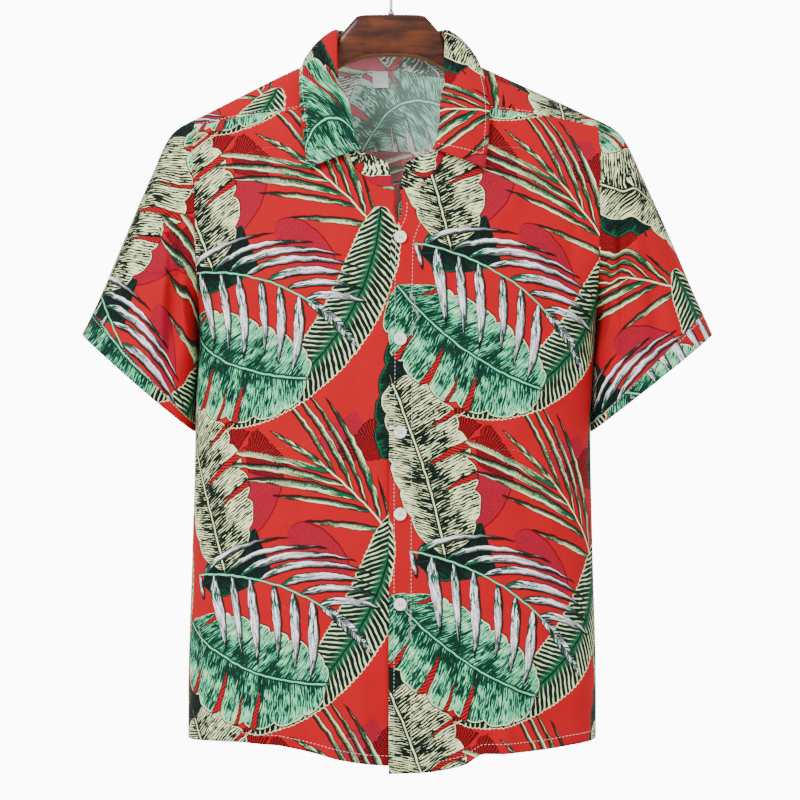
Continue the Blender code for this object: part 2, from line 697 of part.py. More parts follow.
def main():
    for old in list(bpy.data.objects):
        bpy.data.objects.remove(old)
    parts = bpy.data.collections.new(NAME)
    bpy.context.scene.collection.children.link(parts)

    red = (0.84, 0.03, 0.02)
    front_cloth = material("front_cloth", red, 0.8)
    upper_cloth = material("upper_front_cloth", (0.70, 0.06, 0.03), 0.8)
    back_cloth = material("back_cloth", (0.55, 0.03, 0.03), 0.8)
    yoke_cloth = material("yoke_cloth", (0.05, 0.30, 0.14), 0.8)
    sleeve_cloth = material("sleeve_cloth", (0.60, 0.10, 0.05), 0.8)
    collar_cloth = material("collar_cloth", (0.06, 0.36, 0.20), 0.8)
    pearl = material("pearl", (0.86, 0.84, 0.82), 0.25)
    label_cloth = material("label_cloth", (0.90, 0.90, 0.88), 0.7)
    wood = material("wood", (0.20, 0.06, 0.02), 0.25)
    steel = material("steel", (0.60, 0.60, 0.60), 0.3, 1.0)

    front("front_left", 1, "upper", upper_cloth, parts)
    front("front_right", -1, "lower", front_cloth, parts)
    yoke(yoke_cloth, parts)
    back(back_cloth, parts)
    sleeve(1, "left", sleeve_cloth, parts)
    sleeve(-1, "right", sleeve_cloth, parts)
    collar_stand(collar_cloth, parts)
    collar_leaf(collar_cloth, parts)
    neck_label(label_cloth, parts)
    for index, down in enumerate(BUTTONS_DOWN, start=1):
        button(index, down, pearl, parts)
    hanger(wood, parts)
    hook(steel, parts)
    ferrule(steel, parts)


main()
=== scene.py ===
"""A short-sleeved hawaiian shirt on its wooden hanger, sewn from its cut pieces.

Metres, +Z up, the shirt's front towards -Y, the origin at the inside top of the hook. Each
cut piece is a fine grid on the same surface as its solid. The grid also knows where each of
its points lay on the flat cloth, so the print runs over the folds as it was printed.
"""
import math

import bmesh
import bpy
import numpy as np
from bpy.props import FloatProperty, FloatVectorProperty, PointerProperty
from bpy.types import Operator, Panel, PropertyGroup
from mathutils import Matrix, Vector


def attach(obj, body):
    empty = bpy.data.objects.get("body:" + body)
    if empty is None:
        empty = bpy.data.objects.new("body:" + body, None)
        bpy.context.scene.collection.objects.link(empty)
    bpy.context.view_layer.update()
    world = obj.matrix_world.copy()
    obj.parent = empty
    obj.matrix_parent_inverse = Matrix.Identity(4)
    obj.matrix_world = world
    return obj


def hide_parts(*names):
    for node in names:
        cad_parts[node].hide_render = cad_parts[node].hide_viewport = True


bl_info = {
    "name": "Hawaiian shirt on hanger",
    "version": (1, 0, 0),
    "blender": (4, 5, 0),
    "location": "3D View > Sidebar > Shirt",
    "description": "Sews a short-sleeved shirt with a tropical print, on its wooden hanger",
    "category": "Object",
}

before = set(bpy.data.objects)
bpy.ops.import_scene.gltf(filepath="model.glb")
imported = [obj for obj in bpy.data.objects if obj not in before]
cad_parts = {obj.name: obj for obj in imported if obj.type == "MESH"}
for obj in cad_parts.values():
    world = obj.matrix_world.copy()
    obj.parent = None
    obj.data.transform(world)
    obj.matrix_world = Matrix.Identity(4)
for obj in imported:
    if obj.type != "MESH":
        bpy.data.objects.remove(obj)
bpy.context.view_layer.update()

# The solids' own sizes
WALL = 0.0015             # thickness of the solids' cloth
SEAM = 0.0005             # gap between two pieces that meet edge to edge
SLEEVE_SEAM = 0.0009      # and at the armhole
LAP_LIFT = 0.0026         # how far the upper front stands off the lower one
LAP_WIDTH = 0.024         # the width over which it keeps that distance
LAP_FADE = 0.035          # and the width over which it comes back
NECK_DOWN = 0.108         # shoulder ridge beside the neck
NECK_HALF = 0.070
NECK_ROUND = 0.030        # rounds the ridge where it would peak at the middle
SHOULDER_SLOPE = 0.49
SHOULDER_DOWN = 0.170     # end of the shoulder, top of the armhole
ARMPIT_DOWN = 0.397
HEM_DOWN = 0.785          # hem at the side seams
FRONT_DEPTH = 0.088       # how far the front stands off the hanger's plane
BACK_DEPTH = 0.080
HANG_LENGTH = 0.085       # how fast the cloth falls away from the ridge
HANG_POWER = 0.8
ARMHOLE_DEPTH = 0.048
SIDE_POWER = 2.6          # squareness of the body's round sides
BACK_SEAM_DOWN = 0.200
YOKE_SPREAD = 0.062       # how the yoke's columns fan out round the neck
YOKE_FAN = 0.70
YOKE_LEAD = 0.50
LEAF_GAP = 0.0024         # between collar stand and leaf at the fold
LEAF_BULGE = 0.0040       # how far the folded leaf rounds out
LEAF_FIRST_SHARE = 0.12   # where the collar leaf begins along the neckline
LABEL_SIZE = 0.016
LABEL_WALL = 0.0004
LABEL_GAP = 0.0008        # between the label and the yoke
LABEL_X = -0.011
LABEL_DOWN = 0.1255
BUTTON_RADIUS = 0.0062
BUTTON_THICK = 0.0026
BUTTON_X = 0.0093         # the line of the buttons
BUTTONS_DOWN = (0.2925, 0.3911, 0.4809, 0.5598, 0.6466)
TOUCH = 0.0003            # gap between hard pieces that touch
SLEEVE_DEPTH = 0.050      # half depth of the sleeve, and of its cuff
CUFF_DEPTH = 0.046
SLEEVE_POWER = 0.85       # roundness of the sleeve: 1 is an ellipse
CAP_SHARE = 0.30          # how far along the sleeve the armhole's line and depth reach
BAND_SHARE = 0.90         # where the band begins
SLEEVE_INNER_X = 0.1976   # underarm line, a little further in than the solids'
CUFF_INNER_DOWN = 0.482
SLEEVE_OUTER = 0.246      # length along the outer line, and along the underarm
SLEEVE_INNER = 0.085
WOOD_TOP_DOWN = 0.065
HANGER_CLEARANCE = 0.0019
BLOCK_ROUND = 0.50        # how round the wood's section is: 1 is an ellipse
ARM_ROUND = 0.85
RIDGE_FROM = 0.095        # from here outwards the arm follows the shoulder ridge
CROOK_RADIUS = 0.0190     # inside radius of the hook's crook
WIRE_RADIUS = 0.0017
FERRULE_RADIUS = 0.0032
FERRULE_HEIGHT = 0.0032


def table(names, rows):
    """A short table with named columns, as arrays."""
    return dict(zip(names.split(), np.array(rows, dtype=float).T))


# ---- The shirt's own shape: its solids', but for a side seam a little further out

# The upper shirt hangs a little to +X of the hanger. down is the distance below the hook.
SWAY = table("down x", (
    (0.125, 0.0000),
    (0.180, 0.0050),
    (0.360, 0.0068),
    (0.480, 0.0020),
    (0.830, 0.0010)))

# Half width at the armhole, and at the side seam below it.
REACH = table("down x", (
    (0.100, 0.2005),
    (0.180, 0.2005),
    (0.250, 0.1985),
    (0.397, 0.1968),
    (0.490, 0.1969),
    (0.600, 0.1993),
    (0.740, 0.2030),
    (0.830, 0.2030)))

# Half of the neckline from the front corner to the centre back: half width, and height
# above (-) or behind (+) the shoulder ridge, measured down from it.
NECKLINE = table("share x over", (
    (0.00, 0.0030, -0.1610),
    (0.05, 0.0175, -0.1550),
    (0.12, 0.0330, -0.1395),
    (0.21, 0.0460, -0.1165),
    (0.33, 0.0570, -0.0835),
    (0.43, 0.0630, -0.0560),
    (0.62, 0.0700, 0.0000),
    (0.70, 0.0655, 0.0125),
    (0.80, 0.0500, 0.0215),
    (0.90, 0.0270, 0.0272),
    (1.00, 0.0000, 0.0286)))
SEAM_SHARE = 0.43         # where the yoke's front seam meets the neckline

# Top edge of the collar stand, where the leaf folds over it.
FOLD = table("share x y down", (
    (0.00, 0.0090, -0.0690, 0.2195),
    (0.05, 0.0210, -0.0680, 0.2137),
    (0.12, 0.0365, -0.0665, 0.2070),
    (0.21, 0.0425, -0.0625, 0.1870),
    (0.33, 0.0470, -0.0490, 0.1554),
    (0.43, 0.0540, -0.0350, 0.1340),
    (0.62, 0.0545, -0.0040, 0.0825),
    (0.70, 0.0510, 0.0110, 0.0810),
    (0.80, 0.0400, 0.0210, 0.0800),
    (0.90, 0.0220, 0.0275, 0.0800),
    (1.00, 0.0000, 0.0300, 0.0800)))

# Outer edge of the collar leaf, from the collar's point to the centre back.
LEAF_EDGE = table("share x y down", (
    (0.12, 0.0863, -0.0665, 0.2250),
    (0.21, 0.0905, -0.0560, 0.1900),
    (0.33, 0.0927, -0.0450, 0.1600),
    (0.43, 0.0920, -0.0325, 0.1420),
    (0.62, 0.0850, -0.0020, 0.1100),
    (0.70, 0.0790, 0.0200, 0.1150),
    (0.80, 0.0630, 0.0315, 0.1260),
    (0.90, 0.0340, 0.0370, 0.1270),
    (1.00, 0.0000, 0.0395, 0.1270)))

# Front edges of the two fronts, outwards from the middle of the shirt (+ away from it).
FRONT_EDGE = table("down upper lower", (
    (0.2464, 0.0030, 0.0030),
    (0.2530, 0.0043, 0.0012),
    (0.2637, 0.0047, 0.0024),
    (0.2725, 0.0032, 0.0010),
    (0.2850, -0.0022, -0.0080),
    (0.3005, -0.0066, -0.0150),
    (0.3500, -0.0075, -0.0165),
    (0.4800, -0.0035, -0.0190),
    (0.8300, -0.0030, -0.0190)))

# Hem of the two fronts: they dip towards the front edges.
HEM = table("x upper lower", (
    (-0.020, 0.8100, 0.8030),
    (0.000, 0.8100, 0.8025),
    (0.025, 0.8090, 0.8005),
    (0.050, 0.8075, 0.7974),
    (0.070, 0.8030, 0.7930),
    (0.090, 0.7915, 0.7880),
    (0.115, 0.7915, 0.7835),
    (0.145, 0.7905, 0.7820),
    (0.175, 0.7870, 0.7830),
    (0.205, 0.7850, 0.7850)))

# Front seam of the yoke, from the neckline to the armhole.
YOKE_SEAM = table("x down", (
    (0.060, 0.1605),
    (0.093, 0.1636),
    (0.143, 0.1686),
    (0.2005, 0.1790)))

# The largest soft folds of the body: a trough is negative. side is +1 on the front, -1 on
# the back, x and down the middle of the fold, lean its slope across.
BODY_FOLDS = table("side x down lean width length rise", (
    (1, 0.100, 0.770, 0.10, 0.017, 0.110, 0.0060),
    (1, 0.062, 0.790, -0.10, 0.018, 0.120, -0.0060),
    (1, -0.030, 0.780, 0.15, 0.016, 0.110, 0.0055),
    (1, -0.075, 0.790, -0.10, 0.020, 0.130, -0.0050),
    (1, -0.125, 0.780, 0.05, 0.020, 0.120, 0.0045),
    (1, 0.150, 0.790, 0.05, 0.018, 0.120, -0.0050),
    (1, 0.150, 0.360, -0.55, 0.020, 0.100, -0.0050),
    (1, -0.150, 0.370, 0.50, 0.020, 0.110, -0.0055),
    (-1, 0.110, 0.740, 0.05, 0.024, 0.220, 0.0070),
    (-1, 0.050, 0.760, -0.05, 0.022, 0.230, -0.0065),
    (-1, -0.010, 0.740, 0.05, 0.026, 0.260, 0.0060),
    (-1, -0.075, 0.770, -0.05, 0.022, 0.200, -0.0065),
    (-1, -0.130, 0.750, 0.05, 0.022, 0.180, 0.0060),
    (-1, 0.150, 0.350, -0.50, 0.020, 0.110, -0.0055),
    (-1, -0.145, 0.360, 0.50, 0.020, 0.100, -0.0050)))

# Outer line of a sleeve from the shoulder to the cuff.
SLEEVE_LINE = table("share x down", (
    (0.000, 0.2014, 0.1700),
    (0.103, 0.2210, 0.1850),
    (0.176, 0.2310, 0.2000),
    (0.312, 0.2460, 0.2300),
    (0.579, 0.2725, 0.2900),
    (0.845, 0.2980, 0.3500),
    (1.000, 0.3143, 0.3845)))

# Folds that hang from the sleeve cap. sleeve is +1 at +X; face is +1 on the front.
SLEEVE_FOLDS = table("sleeve face x down lean width length rise", (
    (1, 1, 0.2230, 0.280, -0.05, 0.007, 0.075, -0.0075),
    (1, 1, 0.2480, 0.345, 0.20, 0.010, 0.045, -0.0065),
    (1, 1, 0.2360, 0.300, 0.10, 0.009, 0.080, 0.0040),
    (-1, 1, 0.2170, 0.330, 0.05, 0.007, 0.090, -0.0080),
    (-1, 1, 0.2400, 0.300, 0.25, 0.010, 0.060, -0.0045),
    (-1, 1, 0.2290, 0.350, 0.20, 0.008, 0.080, 0.0045),
    (1, -1, 0.2200, 0.320, 0.00, 0.008, 0.085, -0.0070),
    (1, -1, 0.2450, 0.320, 0.25, 0.010, 0.060, -0.0050),
    (-1, -1, 0.2220, 0.300, -0.05, 0.008, 0.080, -0.0070),
    (-1, -1, 0.2460, 0.340, 0.25, 0.010, 0.060, 0.0050)))

# One half of the hanger: a flat block under the hook, and an arm along the shoulder ridge.
HANGER = table("x top bottom half_thick", (
    (0.000, 0.0650, 0.1065, 0.0085),
    (0.014, 0.0650, 0.1068, 0.0085),
    (0.027, 0.0652, 0.1085, 0.0085),
    (0.034, 0.0665, 0.1110, 0.0084),
    (0.0395, 0.0725, 0.1132, 0.0082),
    (0.046, 0.0800, 0.1160, 0.0080),
    (0.053, 0.0885, 0.1195, 0.0078),
    (0.059, 0.1000, 0.1235, 0.0070),
    (0.066, 0.1135, 0.1280, 0.0064),
    (0.074, 0.1205, 0.1330, 0.0062),
    (0.088, 0.1240, 0.1400, 0.0062),
    (0.105, 0.1255, 0.1485, 0.0062),
    (0.125, 0.1350, 0.1570, 0.0060),
    (0.145, 0.1445, 0.1645, 0.0058),
    (0.165, 0.1540, 0.1710, 0.0056),
    (0.182, 0.1620, 0.1765, 0.0054),
    (0.1900, 0.1665, 0.1785, 0.0048),
    (0.1935, 0.1700, 0.1770, 0.0034)))

# Finer creases of the body: narrow soft troughs (-) and ridges (+).
BODY_CREASES = table("side x down lean width length rise", (
    (1, 0.103, 0.745, -0.12, 0.006, 0.050, -0.0026),
    (1, 0.112, 0.752, 0.02, 0.007, 0.045, 0.0020),
    (1, -0.027, 0.765, 0.10, 0.006, 0.040, 0.0018),
    (1, -0.036, 0.770, 0.16, 0.006, 0.040, -0.0022),
    (1, -0.110, 0.770, -0.06, 0.008, 0.045, -0.0018),
    (1, 0.035, 0.785, 0.12, 0.007, 0.035, 0.0016),
    (1, 0.168, 0.700, 0.06, 0.009, 0.090, -0.0024),
    (1, -0.165, 0.680, -0.05, 0.009, 0.100, -0.0022),
    (1, 0.172, 0.420, -0.80, 0.008, 0.050, -0.0034),
    (1, 0.160, 0.445, -1.10, 0.009, 0.045, 0.0022),
    (1, -0.170, 0.420, 0.85, 0.008, 0.050, -0.0034),
    (1, -0.158, 0.450, 1.05, 0.009, 0.045, 0.0022),
    (1, 0.176, 0.270, -0.15, 0.006, 0.060, -0.0026),
    (1, -0.178, 0.280, 0.12, 0.006, 0.070, -0.0028),
    (1, 0.120, 0.240, -0.60, 0.012, 0.060, 0.0020),
    (1, -0.118, 0.245, 0.55, 0.012, 0.060, 0.0018),
    (1, 0.060, 0.330, -0.35, 0.014, 0.070, -0.0018),
    (1, -0.070, 0.345, 0.30, 0.014, 0.070, -0.0018),
    (1, 0.030, 0.340, 0.05, 0.008, 0.045, -0.0014),
    (1, -0.038, 0.420, 0.05, 0.010, 0.060, -0.0016),
    (1, 0.045, 0.530, 0.10, 0.012, 0.070, 0.0014),
    (1, -0.090, 0.560, 0.12, 0.014, 0.090, -0.0016),
    (1, 0.130, 0.580, -0.12, 0.014, 0.090, -0.0018),
    (-1, 0.020, 0.300, 0.05, 0.010, 0.090, -0.0026),
    (-1, -0.045, 0.290, -0.10, 0.012, 0.080, 0.0022),
    (-1, 0.090, 0.330, -0.25, 0.012, 0.080, -0.0026),
    (-1, -0.110, 0.340, 0.25, 0.012, 0.080, -0.0026),
    (-1, 0.165, 0.420, -0.85, 0.008, 0.050, -0.0034),
    (-1, -0.165, 0.420, 0.85, 0.008, 0.050, -0.0034),
    (-1, 0.070, 0.520, 0.05, 0.014, 0.110, -0.0026),
    (-1, -0.030, 0.540, -0.04, 0.014, 0.120, 0.0024),
    (-1, -0.120, 0.560, 0.05, 0.014, 0.100, -0.0024),
    (-1, 0.140, 0.600, 0.03, 0.012, 0.110, 0.0024),
    (-1, 0.025, 0.700, 0.04, 0.010, 0.080, 0.0022),
    (-1, -0.055, 0.720, -0.06, 0.010, 0.070, 0.0020)))

# Finer creases of the sleeves.
SLEEVE_CREASES = table("sleeve face x down lean width length rise", (
    (1, 1, 0.2120, 0.225, 0.35, 0.0045, 0.030, -0.0034),
    (1, 1, 0.2400, 0.262, 0.42, 0.0060, 0.040, 0.0022),
    (1, 1, 0.2650, 0.340, 0.50, 0.0070, 0.035, -0.0026),
    (1, 1, 0.2190, 0.330, 0.04, 0.0034, 0.065, -0.0040),
    (1, 1, 0.2250, 0.400, -0.20, 0.0060, 0.035, -0.0028),
    (1, 1, 0.2480, 0.410, 0.10, 0.0070, 0.030, 0.0024),
    (-1, 1, 0.2120, 0.262, -0.05, 0.0040, 0.030, -0.0032),
    (-1, 1, 0.2250, 0.270, 1.60, 0.0045, 0.014, -0.0038),
    (-1, 1, 0.2600, 0.330, 0.50, 0.0080, 0.040, 0.0022),
    (-1, 1, 0.2235, 0.335, 0.02, 0.0034, 0.070, -0.0042),
    (-1, 1, 0.2330, 0.329, 0.00, 0.0150, 0.0036, -0.0034),
    (-1, 1, 0.2360, 0.390, -0.15, 0.0060, 0.035, -0.0030),
    (-1, 1, 0.2700, 0.390, 0.45, 0.0070, 0.030, -0.0020),
    (1, -1, 0.2300, 0.250, 0.30, 0.0060, 0.040, -0.0034),
    (1, -1, 0.2550, 0.330, 0.45, 0.0080, 0.045, 0.0026),
    (1, -1, 0.2300, 0.400, -0.10, 0.0060, 0.035, -0.0028),
    (-1, -1, 0.2300, 0.250, 0.30, 0.0060, 0.040, 0.0028),
    (-1, -1, 0.2550, 0.340, 0.45, 0.0080, 0.045, -0.0030),
    (-1, -1, 0.2300, 0.410, -0.10, 0.0060, 0.035, 0.0024)))


def smooth(x, xs, ys):
    """A smooth curve through a table's rows that never overshoots them."""
    x = np.clip(x, xs[0], xs[-1])
    step = np.diff(xs)
    slope = np.diff(ys) / step
    product = slope[:-1] * slope[1:]
    total = slope[:-1] + slope[1:]
    same_way = product > 0
    middle = np.where(same_way, 2 * product / np.where(same_way, total, 1), 0)
    tangent = np.concatenate(([slope[0]], middle, [slope[-1]]))
    i = np.clip(np.searchsorted(xs, x) - 1, 0, len(xs) - 2)
    h = step[i]
    t = (x - xs[i]) / h
    start = (1 + 2 * t) * (1 - t) ** 2 * ys[i] + t * (1 - t) ** 2 * h * tangent[i]
    end = t * t * (3 - 2 * t) * ys[i + 1] + t * t * (t - 1) * h * tangent[i + 1]
    return start + end


def ease(value, start, end):
    """0 before start, 1 past end, and a smooth step between them."""
    t = np.clip((value - start) / (end - start), 0, 1)
    return t * t * (3 - 2 * t)


def sway(down):
    """How far the cloth at this height hangs to +X."""
    return smooth(down, SWAY["down"], SWAY["x"])


def reach(down):
    """Half width of the body at this height."""
    return smooth(down, REACH["down"], REACH["x"])


def ridge(x):
    """Height of the shoulder ridge, as a distance below the hook: a rounded gable."""
    run = np.hypot(x, NECK_ROUND) - math.hypot(NECK_HALF, NECK_ROUND)
    return NECK_DOWN + SHOULDER_SLOPE * run


def bumps(rows, chosen, x, down):
    """The chosen folds of a table, each a bell across its line and along it."""
    total = np.zeros(np.broadcast(x, down).shape)
    for i in np.flatnonzero(chosen):
        along = down - rows["down"][i]
        across = x - rows["x"][i] - rows["lean"][i] * along
        shape = np.exp(-(across / rows["width"][i]) ** 2 - (along / rows["length"][i]) ** 2)
        total += rows["rise"][i] * shape
    return total


def uneven(across, along, scale, turn):
    """Soft uneven ground between -1 and 1: seven sine waves that each run another way."""
    total = 0.0
    for i in range(7):
        angle = turn + 2.4 * i
        wave = 2 * math.pi / (scale * (0.65 + 0.17 * i))
        phase = wave * (across * math.cos(angle) + along * math.sin(angle)) + 1.7 * i * turn
        total = total + np.sin(phase)
    return total / 4


def depth(x, down, side):
    """How far the cloth stands off the hanger's plane, on the front (+1) or back (-1).

    It falls away from the shoulder ridge as 1 - exp(-(below / length) ** power), bends back
    to the armhole's depth at the sides of the chest, and below the armpit rounds off to the
    side seam as a superellipse.
    """
    below = np.maximum(down - ridge(x), 0)
    full = FRONT_DEPTH if side > 0 else BACK_DEPTH
    hang = full * (1 - np.exp(-(below / HANG_LENGTH) ** HANG_POWER))
    u = np.clip(np.abs(x) / reach(down), 0, 1)
    pull = u ** 3 * ease(down, SHOULDER_DOWN, SHOULDER_DOWN + 0.070)
    chest = hang * (1 - pull) + ARMHOLE_DEPTH * pull
    belly = hang * (1 - u ** SIDE_POWER) ** (1 / SIDE_POWER)
    closed = ease(down, ARMPIT_DOWN - 0.100, ARMPIT_DOWN)
    flat = chest * (1 - closed) + belly * closed
    folds = bumps(BODY_FOLDS, BODY_FOLDS["side"] == side, x, down)
    return flat + folds * (1 - u ** 6) * ease(below, 0.02, 0.08)


# Height and spacing of the cloth's uneven ground, and of the hem's waves
ROUGH = (0.0007, 0.075)
FINE_ROUGH = (0.00035, 0.028)
HEM_WAVES = (0.0011, 0.052)
HEM_WAVES_FADE = 0.045    # height over which the hem's waves die out


def relief(x, down, side):
    """Finer creases, uneven ground, and small waves that die out upwards from the hem."""
    u = np.clip(np.abs(x) / reach(down), 0, 1)
    below = np.maximum(down - ridge(x), 0)
    fine = bumps(BODY_CREASES, BODY_CREASES["side"] == side, x, down)
    rough = ROUGH[0] * uneven(x, 0.45 * down, ROUGH[1], 1.3 + side)
    rough = rough + FINE_ROUGH[0] * uneven(x, 0.7 * down, FINE_ROUGH[1], 2.1 + side)
    over_hem = np.maximum(HEM_DOWN + 0.012 - down, 0)
    waves = (HEM_WAVES[0] * np.exp(-over_hem / HEM_WAVES_FADE)
             * uneven(x, 0 * x, HEM_WAVES[1], 0.6 * side + 2.0))
    return (fine + rough + waves) * (1 - u ** 8) * ease(below, 0.012, 0.07)


def on_body(x, down, side, lift=0.0):
    """Points of the front or the back, lift further out."""
    away = depth(x, down, side) + relief(x, down, side) + lift
    return np.stack([x + sway(down), -side * np.maximum(away, SEAM / 2), -down + 0 * x],
                    axis=-1)


def over_ridge(x, over):
    """Points of the yoke: over runs from the front (-) across the ridge to the back (+)."""
    down = ridge(x) + np.abs(over)
    front = depth(x, down, 1) + relief(x, down, 1)
    back = depth(x, down, -1) + relief(x, down, -1)
    return np.stack([x + sway(down), np.where(over < 0, -front, back), -down], axis=-1)


def signed_power(value, power):
    return np.sign(value) * np.abs(value) ** power


def spread(count):
    """Shares from 0 to 1 that crowd towards 1, as the sine of equal steps."""
    return np.sin(np.linspace(0, 1, count + 1) * math.pi / 2)


def fallen(below, full):
    """Length of cloth from the shoulder ridge to a point below it: the summed slant."""
    samples = np.linspace(0, 0.8, 1601)
    hang = full * (1 - np.exp(-(samples / HANG_LENGTH) ** HANG_POWER))
    steps = np.hypot(np.diff(samples), np.diff(hang))
    return np.interp(below, samples, np.concatenate(([0.0], np.cumsum(steps))))


def run_along(points, axis):
    """Summed steps of the points along a grid's axis, starting from 0."""
    steps = np.linalg.norm(np.diff(points, axis=axis), axis=-1)
    start = np.zeros_like(np.take(steps, [0], axis=axis))
    return np.concatenate((start, np.cumsum(steps, axis=axis)), axis=axis)


# ---- Where the cut pieces lie

def neck_column(shares):
    """Half width and height of the neckline at some shares of it."""
    x = smooth(shares, NECKLINE["share"], NECKLINE["x"])
    over = smooth(shares, NECKLINE["share"], NECKLINE["over"])
    return x, over


def seam_points(columns):
    """The seam of yoke and front, from the neckline to the armhole."""
    start = neck_column(np.array([SEAM_SHARE]))[0]
    x = start + (reach(SHOULDER_DOWN) - start) * spread(columns)
    return x, smooth(x, YOKE_SEAM["x"], YOKE_SEAM["down"])


def front_grid(which, columns=104, neck_rows=40, edge_rows=216):
    """x and down of a front. Its rows start on the neckline, then on the front edge, and
    each runs straight out to the armhole or side; the last one lies on the hem."""
    across = spread(columns)
    neck_x, neck_over = neck_column(np.linspace(SEAM_SHARE, 0, neck_rows))
    neck_down = ridge(neck_x) - neck_over
    corner = neck_down[-1]
    crowded = np.linspace(0, 1, edge_rows + 1)[1:, None] ** 1.05
    edge_end = smooth(0.0, HEM["x"], HEM[which])
    edge_down = corner + (edge_end - corner) * crowded
    edge_x = smooth(edge_down, FRONT_EDGE["down"], FRONT_EDGE[which])
    start_x = np.concatenate((neck_x[:, None], edge_x))
    start_down = np.concatenate((neck_down[:, None], edge_down))
    seam_down = seam_points(columns)[1]
    side_top = seam_down[-1] + (corner - seam_down[-1]) * np.linspace(0, 1, neck_rows)
    side_down = np.concatenate((side_top[:, None], corner + (HEM_DOWN - corner) * crowded))
    down = start_down + (side_down - start_down) * across
    x = start_x + (reach(down) - start_x) * across
    hem = smooth(x[-1], HEM["x"], HEM[which])
    low = np.clip((start_down - corner) / (edge_end - corner), 0, 1)
    high = np.clip(1 - (start_down - neck_down[0]) / (corner - neck_down[0]), 0, 1)
    return x, down + (hem - down[-1]) * low + (seam_down + SEAM / 2 - down[0]) * high


def lap(x, hand):
    """The upper front's stand-off: whole near its edge, easing to nothing further out."""
    return LAP_LIFT * (1 - ease(x, LAP_WIDTH, LAP_WIDTH + LAP_FADE)) if hand > 0 else 0.0


def yoke_columns(columns, neck_columns):
    """Start of each yoke column on the front seam and neckline, and its end on the back."""
    seam_x, seam_down = seam_points(columns)
    neck_x, neck_over = neck_column(np.linspace(SEAM_SHARE, 1, neck_columns + 1)[1:])
    x = np.concatenate((seam_x[::-1], neck_x))
    over = np.concatenate((ridge(seam_x[::-1]) - seam_down[::-1], neck_over))
    seam_end = seam_x + YOKE_SPREAD * (1 - spread(columns))
    neck_end = seam_end[0] * np.linspace(1, 0, neck_columns + 1)[1:] ** YOKE_FAN
    end_x = np.concatenate((seam_end[::-1], neck_end))
    mirror = slice(-2, None, -1)
    return (np.concatenate((x, -x[mirror])), np.concatenate((over, over[mirror])),
            np.concatenate((end_x, -end_x[mirror])))


def yoke_grid(columns=80, neck_columns=44, front_rows=22, back_rows=34):
    """x and over of the yoke. Rows crowd at the ridge; one lies on it beside the neck."""
    start_x, start_over, end_x = yoke_columns(columns, neck_columns)
    power = 2 / 3
    first = signed_power(start_over + SEAM / 2, power)
    last = signed_power(BACK_SEAM_DOWN - SEAM / 2 - ridge(end_x), power)
    t = np.linspace(0, 1, front_rows + back_rows + 1)[:, None]
    over = first + (last - first) * t
    split = np.concatenate((first * np.linspace(1, 0, front_rows + 1)[:, None],
                            last * np.linspace(0, 1, back_rows + 1)[1:, None]))
    shoulder = np.arange(len(end_x)) <= columns
    over = signed_power(np.where(shoulder | shoulder[::-1], split, over), 1 / power)
    x = start_x + (end_x - start_x) * ((over - over[0]) / (over[-1] - over[0])) ** YOKE_LEAD
    return x, over


def sleeve_points(hand, shares, angle, gap=0.0):
    """Rings from the armhole (share 0) to the cuff (share 1). angle 0 is the outer line,
    plus and minus pi the underarm.

    Each ring is a flattened circle: x and down run between the two lines by
    (1 + cos angle) / 2, and the cloth stands off by sin angle ** SLEEVE_POWER. Near the
    armhole both ease over to the armhole's own line and depth.
    """
    along = (1 + np.cos(angle)) / 2
    length = SLEEVE_INNER + (SLEEVE_OUTER - SLEEVE_INNER) * along
    t = np.clip(shares[:, None] + gap / length, 0, 1)
    outer_x = smooth(t, SLEEVE_LINE["share"], SLEEVE_LINE["x"])
    outer_down = smooth(t, SLEEVE_LINE["share"], SLEEVE_LINE["down"])
    inner_down = ARMPIT_DOWN - SEAM + (CUFF_INNER_DOWN - ARMPIT_DOWN) * t
    x = SLEEVE_INNER_X + (outer_x - SLEEVE_INNER_X) * along
    down = inner_down + (outer_down - inner_down) * along
    face = np.where(angle >= 0, 1, -1)
    armhole = np.where(face > 0, depth(reach(down), down, 1), depth(reach(down), down, -1))
    seam_x = reach(down) + SLEEVE_SEAM + (SLEEVE_INNER_X - reach(ARMPIT_DOWN)
                                          - SLEEVE_SEAM) * ease(down, 0.30, 0.39)
    start = 1 - ease(t, 0.0, CAP_SHARE)
    x = x + (seam_x - x) * start * (1 - ease(t, 0.0, 0.12 - 0.105 * along ** 4))
    half = SLEEVE_DEPTH + (CUFF_DEPTH - SLEEVE_DEPTH) * ease(t, 0.4, 1.0)
    round_part = np.abs(np.sin(angle))
    away = armhole * start + half * round_part ** SLEEVE_POWER * (1 - start)
    for side in (1, -1):
        for rows in (SLEEVE_FOLDS, SLEEVE_CREASES):
            chosen = (rows["sleeve"] == hand) & (rows["face"] == side)
            fold = bumps(rows, chosen, x, down) * ease(t, 0.0, 0.1)
            away = away + np.where(face == side, fold, 0) * round_part ** 0.5
    rough = 0.0006 * uneven(x * face, down, 0.045, 1.1 + hand) * ease(t, 0.0, 0.1)
    away = np.maximum(away + rough * round_part, 0)
    return np.stack([hand * x + sway(down), -face * away, -down], axis=-1)


def mirrored(half):
    """A row of points from one front end round the back to the other."""
    other = half[..., -2::-1, :] * np.array([-1.0, 1.0, 1.0])
    return np.concatenate((half, other), axis=-2)


def swayed(points):
    """Points moved to +X by the sway at their height."""
    moved = points.copy()
    moved[..., 0] += sway(-points[..., 2])
    return moved


def unit(vectors):
    return vectors / np.linalg.norm(vectors, axis=-1, keepdims=True)


def neck_points(shares):
    """The neckline, before the sway."""
    x, over = neck_column(shares)
    down = ridge(x) + np.abs(over)
    y = np.where(over < 0, -depth(x, down, 1), depth(x, down, -1))
    return np.stack([x, y, -down], axis=-1)


